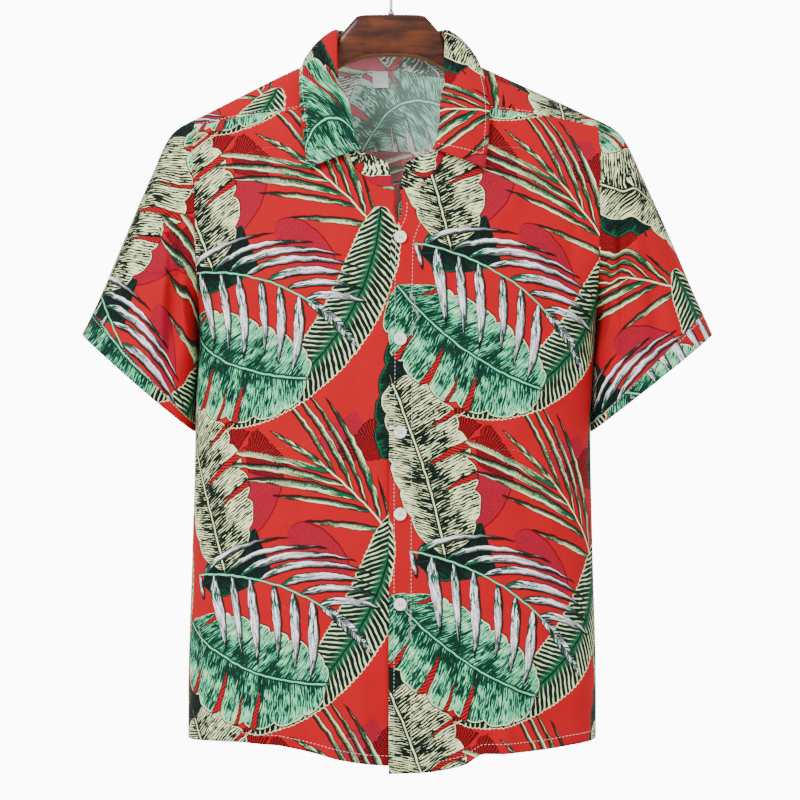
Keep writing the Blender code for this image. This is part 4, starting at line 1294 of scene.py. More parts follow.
def draw_frond(work, ground, name, wobble, ink, colours):
    """A feather leaf. Each leaflet keeps one value of root, the place on the rib it grows
    from, where root = (along - slope * away - curve * away ** 2) / (1 + fan * away); it
    swells and tapers along its length, and one more goes on from the rib's end."""
    tone, streak, tip, rib_tone = (colours[key] for key in TONES[name])
    (step, half_width, half_share), left, right = FRONDS[name]
    along, across, reach_in = motif_wires(work, name, wobble)
    rows = MOTIFS[name]
    length = rows["length"][0]
    away = abs(across)
    right_side = across.above(0.0, 0.0004)

    def either(first, second):
        return right_side * (second - first) + first

    slope, curve, fan, taper, slim = (either(a, b) for a, b in zip(left, right))
    side = either(rows["left"][0] - 0.004, rows["right"][0] - 0.004)
    open_out = away * fan + 1
    root = (along - away * slope - away * away * curve) / open_out
    slant = slope + away * curve * 2 + root * fan
    phase = root / step + right_side * 0.5
    index = phase.whole() + right_side * 31.0
    luck = chance(work, index, 3.0)
    other = chance(work, index, 11.0)
    x = (root / length).most(0.0).least(1.0)
    full = side * (0.80 + luck * 0.20) * (x * 6.0).least(1.0) ** 0.5 * (1 - taper * x)
    q = (away / full.most(0.003)).least(1.3).most(0.0)
    swell = q ** 0.7 * (1 - q).most(0.0) ** 0.95 * 3.08 * (0.70 + other * 0.50) * slim
    off = (phase.fraction() - 0.5 + (luck - 0.5) * 0.25) * step
    off = off * open_out / (slant * slant + 1).root() + (wobble[2] - 0.5) * 0.0012
    edge = swell * half_width - abs(off) - 0.0003
    window = (reach_in.inside() * root.above(0.0, 0.001)
              * (length - root).above(0.0, 0.001))
    last = (along - length * 0.93) / 0.076
    last_edge = (last.most(0.0) ** 0.6) * ((1 - last).most(0.0) ** 0.7) * half_width * 2.1
    last_edge = last_edge - away - 0.0003
    last_on = last.above(0.0, 0.01) * (1.02 - last).above(0.0, 0.02)
    inside = (edge.inside() * window).most(last_edge.inside())
    dark_side = off.inside() * 0.0009 + 0.0008
    outline = ((edge + dark_side).above(0.0, 0.0004) * window
               * (1.02 - q).above(0.0, 0.02)).most(
                   (last_edge + 0.0009).above(0.0, 0.0004) * last_on)
    grain = work.noise(work.join(off + index * 0.013, away), 1.0, 2.0, 0.6,
                       stretch=(1 / 0.0018, 1 / 0.013, 1.0))[0].above(0.50, 0.12)
    base_part = (0.40 - q).above(0.0, 0.5)
    tip_part = (q - 0.74).above(0.0, 0.4)
    share = grain * (base_part * (1.3 + other) + tip_part * 1.4 + 0.10) * (0.7 + ink * 0.6)
    colour = work.mix(tone, streak, share.least(1.0))
    colour = work.mix(colour, streak, off.above(0.0, 0.0008) * half_share * (0.5 + ink))
    shadow = (0.0013 - edge).above(0.0, 0.0008) * off.above(0.0, 0.0008)
    colour = work.mix(colour, tip, (shadow * 0.8).most(tip_part * (0.3 + grain * 0.7)))
    made = work.mix(ground, colours["black_green"], outline * 0.94)
    made = work.mix(made, colour, inside)
    rib_on = (along.above(0.0, 0.001) * (length - along).above(0.0, 0.002)
              * reach_in.inside())
    made = work.mix(made, colours["black_green"], stripes_at(away, 0.0, 0.0014) * rib_on)
    return work.mix(made, rib_tone, stripes_at(away, 0.0, 0.0008) * rib_on)


# The motifs in the order they were printed, each over the ones before.
DRAWN = (("shade", draw_shade), ("fan", draw_fan), ("dark", draw_lobed),
         ("banana", draw_lobed), ("spray", draw_frond), ("ribbon", draw_ribbon),
         ("monstera", draw_lobed), ("palm", draw_frond))


def cloth_look(name, wrong_side):
    """Printed cloth: the ground, then every motif over it, on a fine plain weave. The wrong
    side shows the same print, paler as a wrong side is, and paler still as painted light
    on the shaded inside of the shirt."""
    work = Work(name)
    chosen = bpy.context.scene.print_colours
    colours = {key: tuple(getattr(chosen, key)) for key in chosen.__annotations__}
    place = work.node("ShaderNodeUVMap", {"uv_map": "cloth"}).outputs[0]
    shaken = work.noise(place, 85.0, 1.0)[1]
    wobble = work.split(shaken)
    ink = work.noise(place, 620.0, 1.0, stretch=(1.0, 0.55, 1.0))[0]
    ink = ink.above(0.5, 0.35)
    tint = work.noise(place, 30.0, 2.0)[0]
    colour = work.mix(colours["ground"], tuple(v * 0.86 for v in colours["ground"]), tint)
    for motif, draw in DRAWN:
        colour = draw(work, colour, motif, wobble, ink, colours)
    # Partly real, partly painted light: a wrong side is paler, and this one is lifted
    # further to stand in for light on the shaded inside of the shirt.
    if wrong_side:
        for _ in range(2):
            colour = work.mix(colour, colour, 1.0, "SCREEN")
        colour = work.mix(colour, (0.86, 1.0, 0.97), 0.22)
    weave_across, weave_along, _ = work.split(place)
    turn = 2 * math.pi / WEAVE
    weave = (weave_across * turn).sine() * (weave_along * turn).sine()
    soft = work.noise(place, 45.0, 3.0, 0.55)[0]
    work.bump(weave * 0.06 + soft, 0.0011, 0.55)
    return work.finish({"Base Color": colour, "Roughness": 0.75, "Specular IOR Level": 0.10,
                        "Sheen Weight": 0.03, "Sheen Roughness": 0.4})


def cloth_looks():
    """The right side's and the wrong side's material, made once."""
    names = ("cloth_right_side", "cloth_wrong_side")
    for wrong_side, name in enumerate(names):
        if name not in bpy.data.materials:
            cloth_look(name, bool(wrong_side))
    return [bpy.data.materials[name] for name in names]


# ---- Buttons and label

PIT_SPACING = 0.00125     # from a button's middle to its pits, across and up
PIT_DEEP = 0.0013
BUTTON_SIDES = 80
HANGER_SIDES = 72
WIRE_SIDES = 20


def weld(mesh):
    """Joins points that coincide, such as a pole's, and turns the faces outwards."""
    bm = bmesh.new()
    bm.from_mesh(mesh)
    bmesh.ops.remove_doubles(bm, verts=bm.verts, dist=1e-7)
    bmesh.ops.recalc_face_normals(bm, faces=bm.faces)
    bm.to_mesh(mesh)
    bm.free()
    mesh.shade_smooth()
    return mesh


def tube_faces(rings, count):
    """Faces of a tube: rings of points, each joined to the next one and round to itself."""
    corner = np.arange(rings * count).reshape(rings, count)
    after = np.roll(corner, -1, axis=1)
    quads = np.stack([corner[:-1], after[:-1], after[1:], corner[1:]], axis=-1)
    return quads.reshape(-1, 4)


def ring_angles(count):
    return np.linspace(0, 2 * math.pi, count + 1)[:-1]


def turned(name, profile, count):
    """A profile of (radius, height) turned about Z; its ends lie on the axis."""
    angle = ring_angles(count)
    radius, height = np.array(profile, dtype=float).T
    points = np.stack([radius[:, None] * np.cos(angle), radius[:, None] * np.sin(angle),
                       height[:, None] + 0 * angle], axis=-1)
    return weld(mesh_of(name, points, tube_faces(len(radius), count)))


def frame_at(outward):
    """Three unit directions: to the side, upright, and outward."""
    side = unit(np.cross(np.array([0.0, 0.0, 1.0]), outward))
    return np.stack([side, np.cross(outward, side), outward])


def lap_point(x, down, lift=0.0):
    """A point of the upper front near its edge; x is the shirt's own."""
    x = np.asarray(x, dtype=float)
    down = np.asarray(down, dtype=float)
    return on_body(x - sway(down), down, 1, LAP_LIFT + lift)


def lap_frame(x, down):
    """The upper front's own directions at a point."""
    near = 0.004
    across = lap_point(x + near, down) - lap_point(x - near, down)
    up = lap_point(x, down - near) - lap_point(x, down + near)
    return frame_at(unit(np.cross(across, up)))


def button_mesh(name, axes, centre):
    """A turned disc with a dished face and a rolled rim; four round pits for the thread are
    pressed into it."""
    share = np.linspace(0, 1, 34)
    half = BUTTON_THICK / 2
    rim = np.exp(-((share - 0.85) / 0.10) ** 2)
    top = half * (0.30 + 0.62 * rim - 0.60 * ease(share, 0.92, 1.0))
    angle = ring_angles(BUTTON_SIDES)
    px = BUTTON_RADIUS * share[:, None] * np.cos(angle)
    py = BUTTON_RADIUS * share[:, None] * np.sin(angle)
    pit = np.zeros(px.shape)
    for sx in (-1, 1):
        for sy in (-1, 1):
            away = np.hypot(px - sx * PIT_SPACING, py - sy * PIT_SPACING)
            pit = pit + 1 - ease(away, 0.00050, 0.00085)
    face = np.stack([px, py, top[:, None] - PIT_DEEP * pit], axis=-1)
    under_share = np.array([1.004, 0.97, 0.90, 0.0])[:, None]
    under_height = half * np.array([-0.10, -0.62, -0.95, -1.0])[:, None]
    under = np.stack([BUTTON_RADIUS * under_share * np.cos(angle),
                      BUTTON_RADIUS * under_share * np.sin(angle),
                      under_height + 0 * angle], axis=-1)
    points = np.concatenate((face, under))
    mesh = mesh_of(name, points @ axes + centre, tube_faces(len(points), BUTTON_SIDES))
    # A ring where the dished face rises to the rolled rim, kept for the material, which
    # paints shade there.
    rim_foot_shade = np.exp(-((share - 0.70) / 0.045) ** 2)[:, None] + 0 * px
    store(mesh, "section", np.concatenate((np.stack([pit, rim_foot_shade, 0 * px], axis=-1),
                                           0 * under)))
    return weld(mesh)


def sew_button(index, down):
    """The button, and two threads from pit to pit across its face."""
    sizes = bpy.context.scene.shirt_sizes
    name = "button_%d" % index
    axes = lap_frame(BUTTON_X, down)
    half = BUTTON_THICK / 2
    centre = lap_point(BUTTON_X, down) + axes[2] * (WALL / 2 + TOUCH * 1.5 + half)
    add_piece("pearl_" + name, button_mesh(name, axes, centre), [pearl_look()],
              "button_pearl", name)
    sides = np.array([-1.0, -0.25, 0.25, 1.0]) * 0.0004
    rows = np.concatenate([PIT_SPACING * hand + sides for hand in (-1, 1)])
    start = np.stack([rows, -PIT_SPACING + 0 * rows, 0.0006 + 0 * rows], axis=-1)
    end = start * (1, -1, 1)
    out = np.broadcast_to(axes[2], start.shape)
    mesh = thread(name + "_thread", start @ axes + centre, end @ axes + centre, out,
                  sizes.thread_radius * 0.7, 2.4)
    add_piece(name + "_thread", mesh, [thread_look()], "button_pearl")


def sew_label():
    """A small blank woven label inside the back of the neck, held by two short stitches."""
    sizes = bpy.context.scene.shirt_sizes
    span = np.linspace(-LABEL_SIZE / 2, LABEL_SIZE / 2, 33)
    x = LABEL_X + span[None, :] + 0 * span[:, None]
    down = LABEL_DOWN + span[:, None] + 0 * x
    curl = 0.0010 * ease(span[:, None], 0.001, LABEL_SIZE / 2) ** 2
    lift = -(WALL / 2 + LABEL_GAP) - curl
    points = on_body(x, down, -1, lift)
    mesh = mesh_of("label", points, grid_faces(33, 33))
    paint_uv(mesh, "cloth", np.stack([x, down], axis=-1))
    piece = add_piece("cloth_label", mesh, [label_look()], "label_cloth", "neck_label")
    give_wall(piece, LABEL_WALL)
    edge = np.array([2, 5, 9, 13, 18, 22, 26, 29])
    start = points[2, edge]
    end = points[2, edge + 1]
    out = np.broadcast_to((0.0, -1.0, 0.0), start.shape)
    stitches = thread("label_stitches", start + out * 0.0003, end + out * 0.0003, out,
                      sizes.thread_radius * 0.6)
    add_piece("label_stitches", stitches, [thread_look()], "label_cloth")


# ---- Stitches

HEM_STITCH = 0.0095       # from the hem to its line of stitches
EDGE_STITCHES = (0.0050, 0.0215)       # from the front's edge to its two lines
EDGE_STITCHES_DOWN = (0.258, 0.800)    # where those lines begin and end
SEAM_STITCH = 0.0022      # from a yoke seam to the line beside it
BAND_STITCH = 0.9125      # share of the sleeve where its band is sewn down


def thread(name, start, end, out, radius, bow=0.7):
    """Short round stitches, each from a start to an end, as one mesh: tubes whose radius
    follows a half ellipse, and that bow outward in the middle."""
    rings = 5
    sides = 6
    t = np.linspace(0, 1, rings)
    swell = np.maximum(1 - (2 * t - 1) ** 2, 0) ** 0.35
    lift = (1 - (2 * t - 1) ** 2) * radius * bow
    side = unit(np.cross(end - start, out))
    angle = ring_angles(sides)
    spine = (start[:, None] + (end - start)[:, None] * t[:, None]
             + out[:, None] * lift[:, None])
    ring = (side[:, None, None] * np.cos(angle)[:, None]
            + out[:, None, None] * np.sin(angle)[:, None])
    points = spine[:, :, None] + ring * (radius * swell)[:, None, None]
    each = np.arange(len(start))[:, None, None] * rings * sides
    return weld(mesh_of(name, points, (tube_faces(rings, sides) + each).reshape(-1, 4)))


def stitch_run(path, out):
    """Stitches of equal length along a path of points: their starts, ends and outward
    directions, read off the path by its summed length."""
    sizes = bpy.context.scene.shirt_sizes
    length = sizes.stitch_length
    run = run_along(path, 0)
    count = int(run[-1] // (length + sizes.stitch_gap))
    first = (np.arange(count) + 0.5) * (run[-1] / count) - length / 2

    def at(values, place):
        return np.stack([np.interp(place, run, values[:, i]) for i in range(3)], axis=-1)

    return at(path, first), at(path, first + length), unit(at(out, first + length / 2))


def surface_normals(points):
    """Outward directions of a grid, from its two tangents."""
    return unit(np.cross(np.gradient(points, axis=1), np.gradient(points, axis=0)))


def sew_line(name, *paths):
    """One piece of thread from several stitched lines, each a path and its outward
    directions."""
    sizes = bpy.context.scene.shirt_sizes
    runs = [stitch_run(path + out * (sizes.cloth_wall / 2), out) for path, out in paths]
    start, end, out = (np.concatenate(part) for part in zip(*runs))
    mesh = thread(name, start, end, out, sizes.thread_radius)
    return add_piece(name, mesh, [thread_look()], "shirt_cloth")


def body_line(x, down, side, lift=0.0):
    """A path on the front or back, with its outward directions."""
    near = 0.002
    path = on_body(x, down, side, lift)
    across = on_body(x + near, down, side, lift) - on_body(x - near, down, side, lift)
    up = on_body(x, down - near, side, lift) - on_body(x, down + near, side, lift)
    return path, unit(np.cross(across, up)) * side


def hem_height(x, which):
    """Height of a front's hem, as a distance below the hook."""
    return smooth(np.abs(x), HEM["x"], HEM[which])


def sew_hem_and_edges():
    """The hem's line all round, and the two lines beside the front's edge."""
    limit = reach(HEM_DOWN - HEM_STITCH) - 0.0015
    lines = []
    for hand, which in ((1, "upper"), (-1, "lower")):
        x = np.linspace(-0.0005, limit, 400)
        down = hem_height(x, which) - HEM_STITCH
        lines.append(body_line(hand * x, down, 1, lap(x, hand)))
    x = np.linspace(-limit, limit, 700)
    lines.append(body_line(x, HEM_DOWN - HEM_STITCH + 0 * x, -1))
    for offset in EDGE_STITCHES:
        down = np.linspace(*EDGE_STITCHES_DOWN, 500)
        x = smooth(down, FRONT_EDGE["down"], FRONT_EDGE["upper"]) + offset
        lines.append(body_line(x, down, 1, lap(x, 1)))
    return sew_line("stitches_hem", *lines)


def sew_seam_lines():
    """Lines beside the yoke's seams, and round the sleeve bands."""
    seam_x, seam_down = seam_points(90)
    lines = []
    for hand in (-1, 1):
        lines.append(body_line(hand * seam_x[2:-2], seam_down[2:-2] - SEAM_STITCH, 1))
    x = np.linspace(-reach(BACK_SEAM_DOWN) + 0.002, reach(BACK_SEAM_DOWN) - 0.002, 500)
    lines.append(body_line(x, BACK_SEAM_DOWN - SEAM_STITCH + 0 * x, -1))
    angle = np.linspace(-math.pi, math.pi, 361)
    for hand in (-1, 1):
        rings = sleeve_points(hand, BAND_STITCH + np.array([-0.01, 0.0, 0.01]), angle)
        out = surface_normals(rings)[1]
        away = rings[1] - rings[1].mean(axis=0)
        out = out * np.sign(np.sum(out * away, axis=-1, keepdims=True))
        lines.append((rings[1], out))
    return sew_line("stitches_seams", *lines)


def sew_collar_lines():
    """The line round the collar leaf, a few millimetres inside its edge."""
    leaf_points = leaf_grid()
    out = surface_normals(leaf_points)
    out = out * np.sign(np.sum(out * (leaf_points - NECK_AXIS), axis=-1, keepdims=True))
    inner = -4
    rows = np.arange(12, leaf_points.shape[0] + inner)
    side = 4
    path = np.concatenate((leaf_points[rows, side], leaf_points[inner, side:-side],
                           leaf_points[rows[::-1], -side - 1]))
    facing = np.concatenate((out[rows, side], out[inner, side:-side],
                             out[rows[::-1], -side - 1]))
    return sew_line("stitches_collar", (path, facing))


# ---- Hanger

def build_hanger():
    """A loft of rounded sections along the hanger's length: half thickness times a power of
    the cosine across, half height times a power of the sine upward."""
    half_x = HANGER["x"][-1] * np.sin(np.linspace(0, 1, 150) * math.pi / 2)
    x = np.concatenate((-half_x[:0:-1], half_x))
    wide = np.abs(x)
    angle = ring_angles(HANGER_SIDES)
    round_part = BLOCK_ROUND + (ARM_ROUND - BLOCK_ROUND) * ease(wide, 0.040, 0.070)
    across = signed_power(np.cos(angle), round_part[:, None])
    up = signed_power(np.sin(angle), round_part[:, None])
    top, bottom, half = (np.interp(wide, HANGER["x"], HANGER[key])[:, None]
                         for key in ("top", "bottom", "half_thick"))
    wide = wide[:, None]
    under_ridge = ridge(wide + sway(ridge(wide))) + WALL / 2 + HANGER_CLEARANCE
    top = np.where(wide > RIDGE_FROM, np.maximum(top, under_ridge), top)
    middle = (top + bottom) / 2
    tall = (bottom - top) / 2
    points = np.stack(np.broadcast_arrays(x[:, None], half * across, -middle + tall * up),
                      axis=-1)
    caps = [points[i] * 0 + points[i].mean(axis=0) for i in (0, -1)]
    points = np.concatenate((caps[:1], points, caps[1:]))
    mesh = mesh_of("hanger_wood", points, tube_faces(len(points), HANGER_SIDES))
    # Up and across round each section, which the wood's material reads for its painted
    # highlight along the lower side.
    section = np.zeros(points.shape)
    section[1:-1, :, 0] = np.broadcast_to(up, points[1:-1, :, 0].shape)
    section[1:-1, :, 1] = np.broadcast_to(across, points[1:-1, :, 0].shape)
    store(mesh, "section", section)
    return add_piece("wooden_hanger", weld(mesh), [wood_look()], "hanger_wood", "hanger")


def build_hook():
    """One wire swept along its route: a stem, a bend as a parabola, and the crook's arc."""
    radius = CROOK_RADIUS + WIRE_RADIUS
    start, end = math.radians(-52), math.radians(200)
    foot = -WOOD_TOP_DOWN + TOUCH + FERRULE_HEIGHT + TOUCH
    join = np.array([radius * math.cos(start), -CROOK_RADIUS + radius * math.sin(start)])
    stem = np.stack([np.zeros(8), np.linspace(foot, foot + 0.011, 8)], axis=-1)
    t = np.linspace(0, 1, 26)[1:-1, None]
    bend = (2 * (1 - t) * t * np.array([0.0, foot + 0.017]) + t * t * join
            + (1 - t) ** 2 * stem[-1])
    arc_angle = np.linspace(start, end, 96)
    arc = np.stack([radius * np.cos(arc_angle), -CROOK_RADIUS + radius * np.sin(arc_angle)],
                   axis=-1)
    route = np.concatenate((stem, bend, arc))
    along = unit(np.gradient(route, axis=0))
    side = np.stack([along[:, 1], -along[:, 0]], axis=-1)
    turn = np.sin(np.linspace(0, math.pi / 2, 6))
    tip = np.sqrt(1 - turn ** 2)
    route = np.concatenate((route[:1] + 0 * turn[:, None], route,
                            route[-1] + along[-1] * WIRE_RADIUS * 0.9 * turn[:, None]))
    side = np.concatenate((side[:1] + 0 * turn[:, None], side,
                           side[-1] + 0 * turn[:, None]))
    wide = WIRE_RADIUS * np.concatenate((turn * 0 + (turn > 0), np.ones(len(arc) + len(bend)
                                                                       + len(stem)), tip))
    angle = ring_angles(WIRE_SIDES)
    flat = side[:, None] * np.cos(angle)[:, None] * wide[:, None, None] + route[:, None]
    points = np.stack([flat[..., 0], wide[:, None] * np.sin(angle) + 0 * flat[..., 0],
                       flat[..., 1]], axis=-1)
    mesh = weld(mesh_of("hook", points, tube_faces(len(points), WIRE_SIDES)))
    add_piece("steel_hook", mesh, [steel_look()], "hook_steel", "hanger_hook")
    low = -WOOD_TOP_DOWN + TOUCH
    r, h = FERRULE_RADIUS, FERRULE_HEIGHT
    profile = ((0.0, low), (r * 0.96, low), (r, low + h * 0.06), (r, low + h * 0.22),
               (r * 0.93, low + h * 0.32), (r * 0.90, low + h * 0.70),
               (r * 0.86, low + h * 0.90), (r * 0.74, low + h), (0.0, low + h))
    add_piece("steel_ferrule", turned("ferrule", profile, 48), [steel_look()], "hook_steel",
              "hook_ferrule")


# ---- Materials of the hard parts and the thread

def look_once(name, paint):
    """A material by its name, painted the first time it is asked for."""
    if name not in bpy.data.materials:
        paint(Work(name))
    return bpy.data.materials[name]


def pearl_look():
    def paint(work):
        """Layers of a milky white and a faint pink and green, as mother of pearl, with
        painted shade in the pits and in a ring at the foot of the rim.
        """
        place = work.object_place()
        layer = work.noise(place, 260.0, 2.0, flat=False)[0]
        pit, rim_foot_shade, _ = work.stored("section")
        band = (layer * 21.0).sine() * 0.5 + 0.5
        colour = work.mix((0.50, 0.50, 0.53), (0.44, 0.34, 0.40), band * 0.5)
        colour = work.mix(colour, (0.38, 0.50, 0.50), layer * 0.5)
        # Painted shade: a darker ring at the foot of the rim.
        colour = work.mix(colour, (0.16, 0.16, 0.18), rim_foot_shade * 0.5)
        # Painted shade: the thread pits are coloured near black.
        colour = work.mix(colour, (0.03, 0.03, 0.035), pit.above(0.5, 0.4))
        work.bump(layer, 0.00008, 0.4)
        work.finish({"Base Color": colour, "Roughness": layer * 0.2 + 0.18,
                     "Coat Weight": 0.35, "Coat Roughness": 0.12, "IOR": 1.53})
    return look_once("button_pearl", paint)


def thread_look():
    def paint(work):
        """Pale mint cotton, twisted."""
        place = work.object_place()
        x, y, z = work.split(place)
        twist = ((x + y * 0.4 + z * 0.8) * 16000.0).sine()
        colour = work.mix((0.62, 0.72, 0.62), (0.36, 0.46, 0.40), twist * 0.25 + 0.25)
        work.bump(twist, 0.00006, 0.5)
        work.finish({"Base Color": colour, "Roughness": 0.75, "Sheen Weight": 0.1})
    return look_once("sewing_thread", paint)


def label_look():
    def paint(work):
        """White satin ribbon with a fine rib."""
        place = work.node("ShaderNodeUVMap", {"uv_map": "cloth"}).outputs[0]
        x, y, _ = work.split(place)
        rib = (y * (2 * math.pi / 0.0005)).sine() * (x * (2 * math.pi / 0.0007)).sine()
        colour = work.mix((0.95, 0.95, 0.96), (0.82, 0.82, 0.84), rib * 0.3 + 0.3)
        work.bump(rib, 0.00005, 0.6)
        work.finish({"Base Color": colour, "Roughness": 0.5, "Sheen Weight": 0.15})
    return look_once("label_satin", paint)


def wood_look():
    def paint(work):
        """Stained hardwood under varnish: long dark grain, clouds of a warmer brown, and a
        painted highlight, paler, along the lower side."""
        place = work.object_place()
        up, _, _ = work.stored("section")
        cloud = work.noise(place, 26.0, 3.0, 0.6, stretch=(0.8, 1.0, 2.2), flat=False)[0]
        grain = work.noise(place, 150.0, 4.0, 0.62, stretch=(0.10, 1.0, 1.0), flat=False)[0]
        colour = work.mix((0.037, 0.0062, 0.0017), (0.130, 0.028, 0.0048),
                          cloud.above(0.52, 0.30))
        colour = work.mix(colour, (0.014, 0.0028, 0.0011), grain.above(0.55, 0.18) * 0.8)
        # Painted highlight: the underside of each section is coloured paler, as if lit.
        lower_side_highlight = (-up).above(0.90, 0.05) * (cloud + 0.35)
        colour = work.mix(colour, (0.28, 0.11, 0.036), lower_side_highlight.least(1.0) * 0.8)
        work.bump(grain, 0.00025, 0.5)
        work.finish({"Base Color": colour, "Roughness": grain * 0.2 + 0.26,
                     "Coat Weight": 0.22, "Coat Roughness": 0.10,
                     "Specular IOR Level": 0.2})
    return look_once("varnished_wood", paint)


def steel_look():
    def paint(work):
        """Zinc-plated wire with fine drawn lines."""
        place = work.object_place()
        line = work.noise(place, 900.0, 2.0, 0.5, stretch=(1.0, 1.0, 0.15), flat=False)[0]
        colour = work.mix((0.52, 0.52, 0.53), (0.34, 0.34, 0.35), line)
        work.bump(line, 0.00005, 0.4)
        work.finish({"Base Color": colour, "Metallic": 1.0, "Roughness": line * 0.2 + 0.2})
    return look_once("zinc_steel", paint)


# ---- Stage

# Lamps: name, place, what it points at, watts, size
LIGHTS = (
    ("key", (-1.6, -2.2, 1.0), (0.0, 0.0, -0.4), 98.0, 1.3),
    ("fill", (2.0, -2.0, 0.2), (0.0, 0.0, -0.4), 26.0, 1.8),
)
CAMERA_AWAY = 2.4
CAMERA_X = 0.009
CAMERA_DOWN = 0.450
FRAME_WIDTH = 0.800       # what the picture takes in at the hanger


def set_stage():
    """A plain pale floor, a white world, soft lights, and a camera square to the front."""
    scene = bpy.context.scene
    world = bpy.data.worlds.new("studio")
    world.use_nodes = True
    nodes = world.node_tree.nodes
    nodes["Background"].inputs["Color"].default_value = (1.0, 1.0, 1.0, 1.0)
    nodes["Background"].inputs["Strength"].default_value = 1.18
    backdrop = nodes.new("ShaderNodeBackground")
    backdrop.inputs["Strength"].default_value = 14.0
    seen = nodes.new("ShaderNodeLightPath")
    both = nodes.new("ShaderNodeMixShader")
    links = world.node_tree.links
    links.new(seen.outputs["Is Camera Ray"], both.inputs[0])
    links.new(nodes["Background"].outputs[0], both.inputs[1])
    links.new(backdrop.outputs[0], both.inputs[2])
    links.new(both.outputs[0], nodes["World Output"].inputs[0])
    scene.world = world

    floor = mesh_of("floor", np.array([(-3, -1, -1.6), (3, -1, -1.6), (3, 2, -1.6),
                                       (-3, 2, -1.6)], dtype=float), [(0, 1, 2, 3)])
    work = Work("floor_paint")
    work.feed(work.shader.inputs["Base Color"], (0.85, 0.85, 0.85))
    work.feed(work.shader.inputs["Roughness"], 0.9)
    floor.materials.append(work.material)
    piece = bpy.data.objects.new("floor", floor)
    scene.collection.objects.link(piece)

    for name, place, aim, energy, size in LIGHTS:
        data = bpy.data.lights.new(name, "AREA")
        data.energy = energy
        data.size = size
        lamp = bpy.data.objects.new(name, data)
        lamp.location = place
        towards = Vector(aim) - Vector(place)
        lamp.rotation_euler = towards.to_track_quat("-Z", "Y").to_euler()
        scene.collection.objects.link(lamp)

    data = bpy.data.cameras.new("camera")
    data.sensor_width = 36.0
    data.lens = 36.0 * CAMERA_AWAY / FRAME_WIDTH
    camera = bpy.data.objects.new("camera", data)
    camera.location = (CAMERA_X, -CAMERA_AWAY, -CAMERA_DOWN)
    camera.rotation_euler = (math.radians(90), 0, 0)
    scene.collection.objects.link(camera)
    scene.camera = camera


# ---- Sizes and colours that a user would change

class ShirtSizes(PropertyGroup):
    cloth_wall: FloatProperty(name="Cloth", description="Thickness of the cloth",
                              default=0.0007, unit="LENGTH")
    stitch_length: FloatProperty(name="Stitch", description="Length of one stitch",
                                 default=0.0029, unit="LENGTH")
    stitch_gap: FloatProperty(name="Stitch gap", description="Gap between two stitches",
                              default=0.0009, unit="LENGTH")
    thread_radius: FloatProperty(name="Thread", description="Radius of the sewing thread",
                                 default=0.00028, unit="LENGTH")


def colour_property(name, description, *linear):
    return FloatVectorProperty(name=name, description=description, subtype="COLOR", size=3,
                               min=0.0, max=1.0, default=linear)


class PrintColours(PropertyGroup):
    ground: colour_property("Ground", "The red ground of the print", 0.425, 0.0029, 0.0083)
    fan_shade: colour_property("Fan shade", "Darker red of the fans", 0.200, 0.0009, 0.0034)
    fan_line: colour_property("Fan line", "Line drawing of the fans", 0.033, 0.0014, 0.0026)
    purple: colour_property("Purple", "Purple hatching", 0.088, 0.0100, 0.044)
    cream: colour_property("Cream", "Cream of the pale leaves", 0.74, 0.80, 0.42)
    lilac: colour_property("Lilac", "Lilac white of the palm", 0.97, 0.90, 1.0)
    mint: colour_property("Mint", "Mint hatching", 0.145, 0.60, 0.33)
    emerald: colour_property("Emerald", "Green of the broad leaves", 0.0035, 0.090, 0.038)
    dark_green: colour_property("Dark green", "Shaded green", 0.0019, 0.0198, 0.0130)
    black_green: colour_property("Black green", "Outlines", 0.0017, 0.0056, 0.0045)


# ---- Operators

class SHIRT_OT_fronts(Operator):
    """Sew the two fronts"""
    bl_idname = "shirt.fronts"
    bl_label = "Fronts"

    def execute(self, context):
        sew_front("front_left", 1, "upper")
        sew_front("front_right", -1, "lower")
        return {"FINISHED"}


class SHIRT_OT_back(Operator):
    """Sew the back and the yoke"""
    bl_idname = "shirt.back"
    bl_label = "Back and yoke"

    def execute(self, context):
        sew_back()
        sew_yoke()
        return {"FINISHED"}


class SHIRT_OT_sleeves(Operator):
    """Sew the two sleeves and their bands"""
    bl_idname = "shirt.sleeves"
    bl_label = "Sleeves"

    def execute(self, context):
        sew_sleeve(1, "left")
        sew_sleeve(-1, "right")
        return {"FINISHED"}


class SHIRT_OT_collar(Operator):
    """Sew the collar's stand and leaf"""
    bl_idname = "shirt.collar"
    bl_label = "Collar"

    def execute(self, context):
        sew_collar_stand()
        sew_collar_leaf()
        return {"FINISHED"}


class SHIRT_OT_label(Operator):
    """Sew in the blank neck label"""
    bl_idname = "shirt.label"
    bl_label = "Neck label"

    def execute(self, context):
        sew_label()
        return {"FINISHED"}


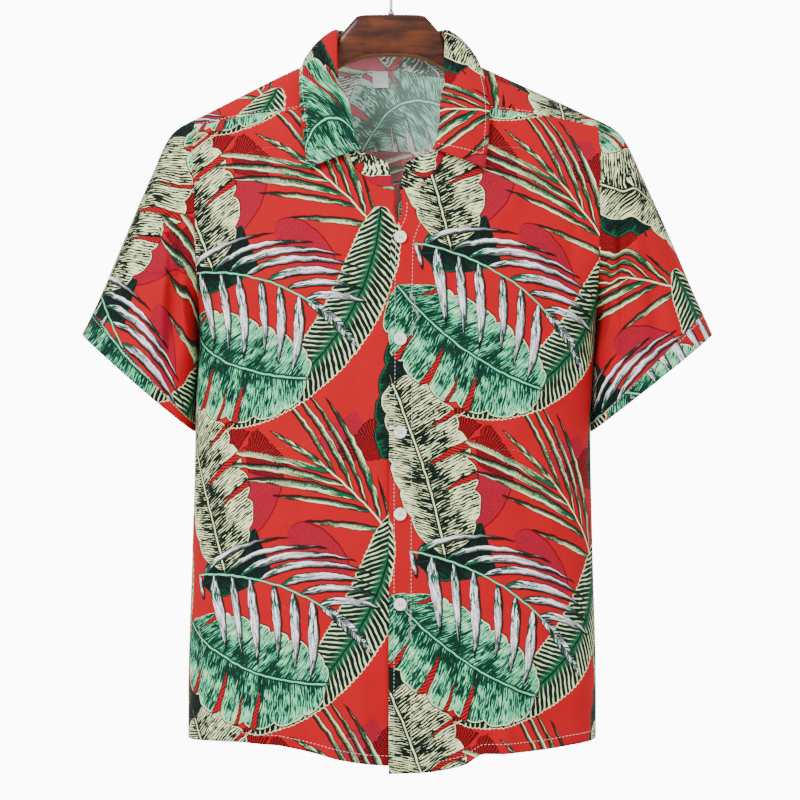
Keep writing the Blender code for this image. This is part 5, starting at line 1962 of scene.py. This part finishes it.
class SHIRT_OT_buttons(Operator):
    """Sew on the buttons"""
    bl_idname = "shirt.buttons"
    bl_label = "Buttons"

    def execute(self, context):
        for index, down in enumerate(BUTTONS_DOWN, 1):
            sew_button(index, down)
        return {"FINISHED"}


class SHIRT_OT_stitches(Operator):
    """Sew the visible lines of stitches"""
    bl_idname = "shirt.stitches"
    bl_label = "Stitches"

    def execute(self, context):
        sew_hem_and_edges()
        sew_seam_lines()
        sew_collar_lines()
        return {"FINISHED"}


class SHIRT_OT_hanger(Operator):
    """Build the wooden hanger with its hook"""
    bl_idname = "shirt.hanger"
    bl_label = "Hanger"

    def execute(self, context):
        build_hanger()
        build_hook()
        return {"FINISHED"}


class SHIRT_OT_stage(Operator):
    """Set the floor, the lights and the camera"""
    bl_idname = "shirt.stage"
    bl_label = "Stage"

    def execute(self, context):
        set_stage()
        return {"FINISHED"}


class SHIRT_PT_panel(Panel):
    """The shirt's sizes, colours and pieces"""
    bl_idname = "SHIRT_PT_panel"
    bl_label = "Hawaiian shirt"
    bl_space_type = "VIEW_3D"
    bl_region_type = "UI"
    bl_category = "Shirt"

    def draw(self, context):
        for group in (context.scene.shirt_sizes, context.scene.print_colours):
            for key in group.__annotations__:
                self.layout.prop(group, key)
        for operator in OPERATORS:
            self.layout.operator(operator.bl_idname)


GROUPS = (("shirt_sizes", ShirtSizes), ("print_colours", PrintColours))
OPERATORS = (SHIRT_OT_fronts, SHIRT_OT_back, SHIRT_OT_sleeves, SHIRT_OT_collar,
             SHIRT_OT_label, SHIRT_OT_buttons, SHIRT_OT_stitches, SHIRT_OT_hanger,
             SHIRT_OT_stage)


def register():
    for name, group in GROUPS:
        bpy.utils.register_class(group)
        setattr(bpy.types.Scene, name, PointerProperty(type=group))
    for item in OPERATORS + (SHIRT_PT_panel,):
        bpy.utils.register_class(item)


def unregister():
    for item in (SHIRT_PT_panel,) + OPERATORS[::-1]:
        bpy.utils.unregister_class(item)
    for name, group in GROUPS[::-1]:
        delattr(bpy.types.Scene, name)
        bpy.utils.unregister_class(group)


def main():
    register()
    for operator in OPERATORS:
        group, name = operator.bl_idname.split(".")
        getattr(getattr(bpy.ops, group), name)()


if __name__ == "__main__":
    main()
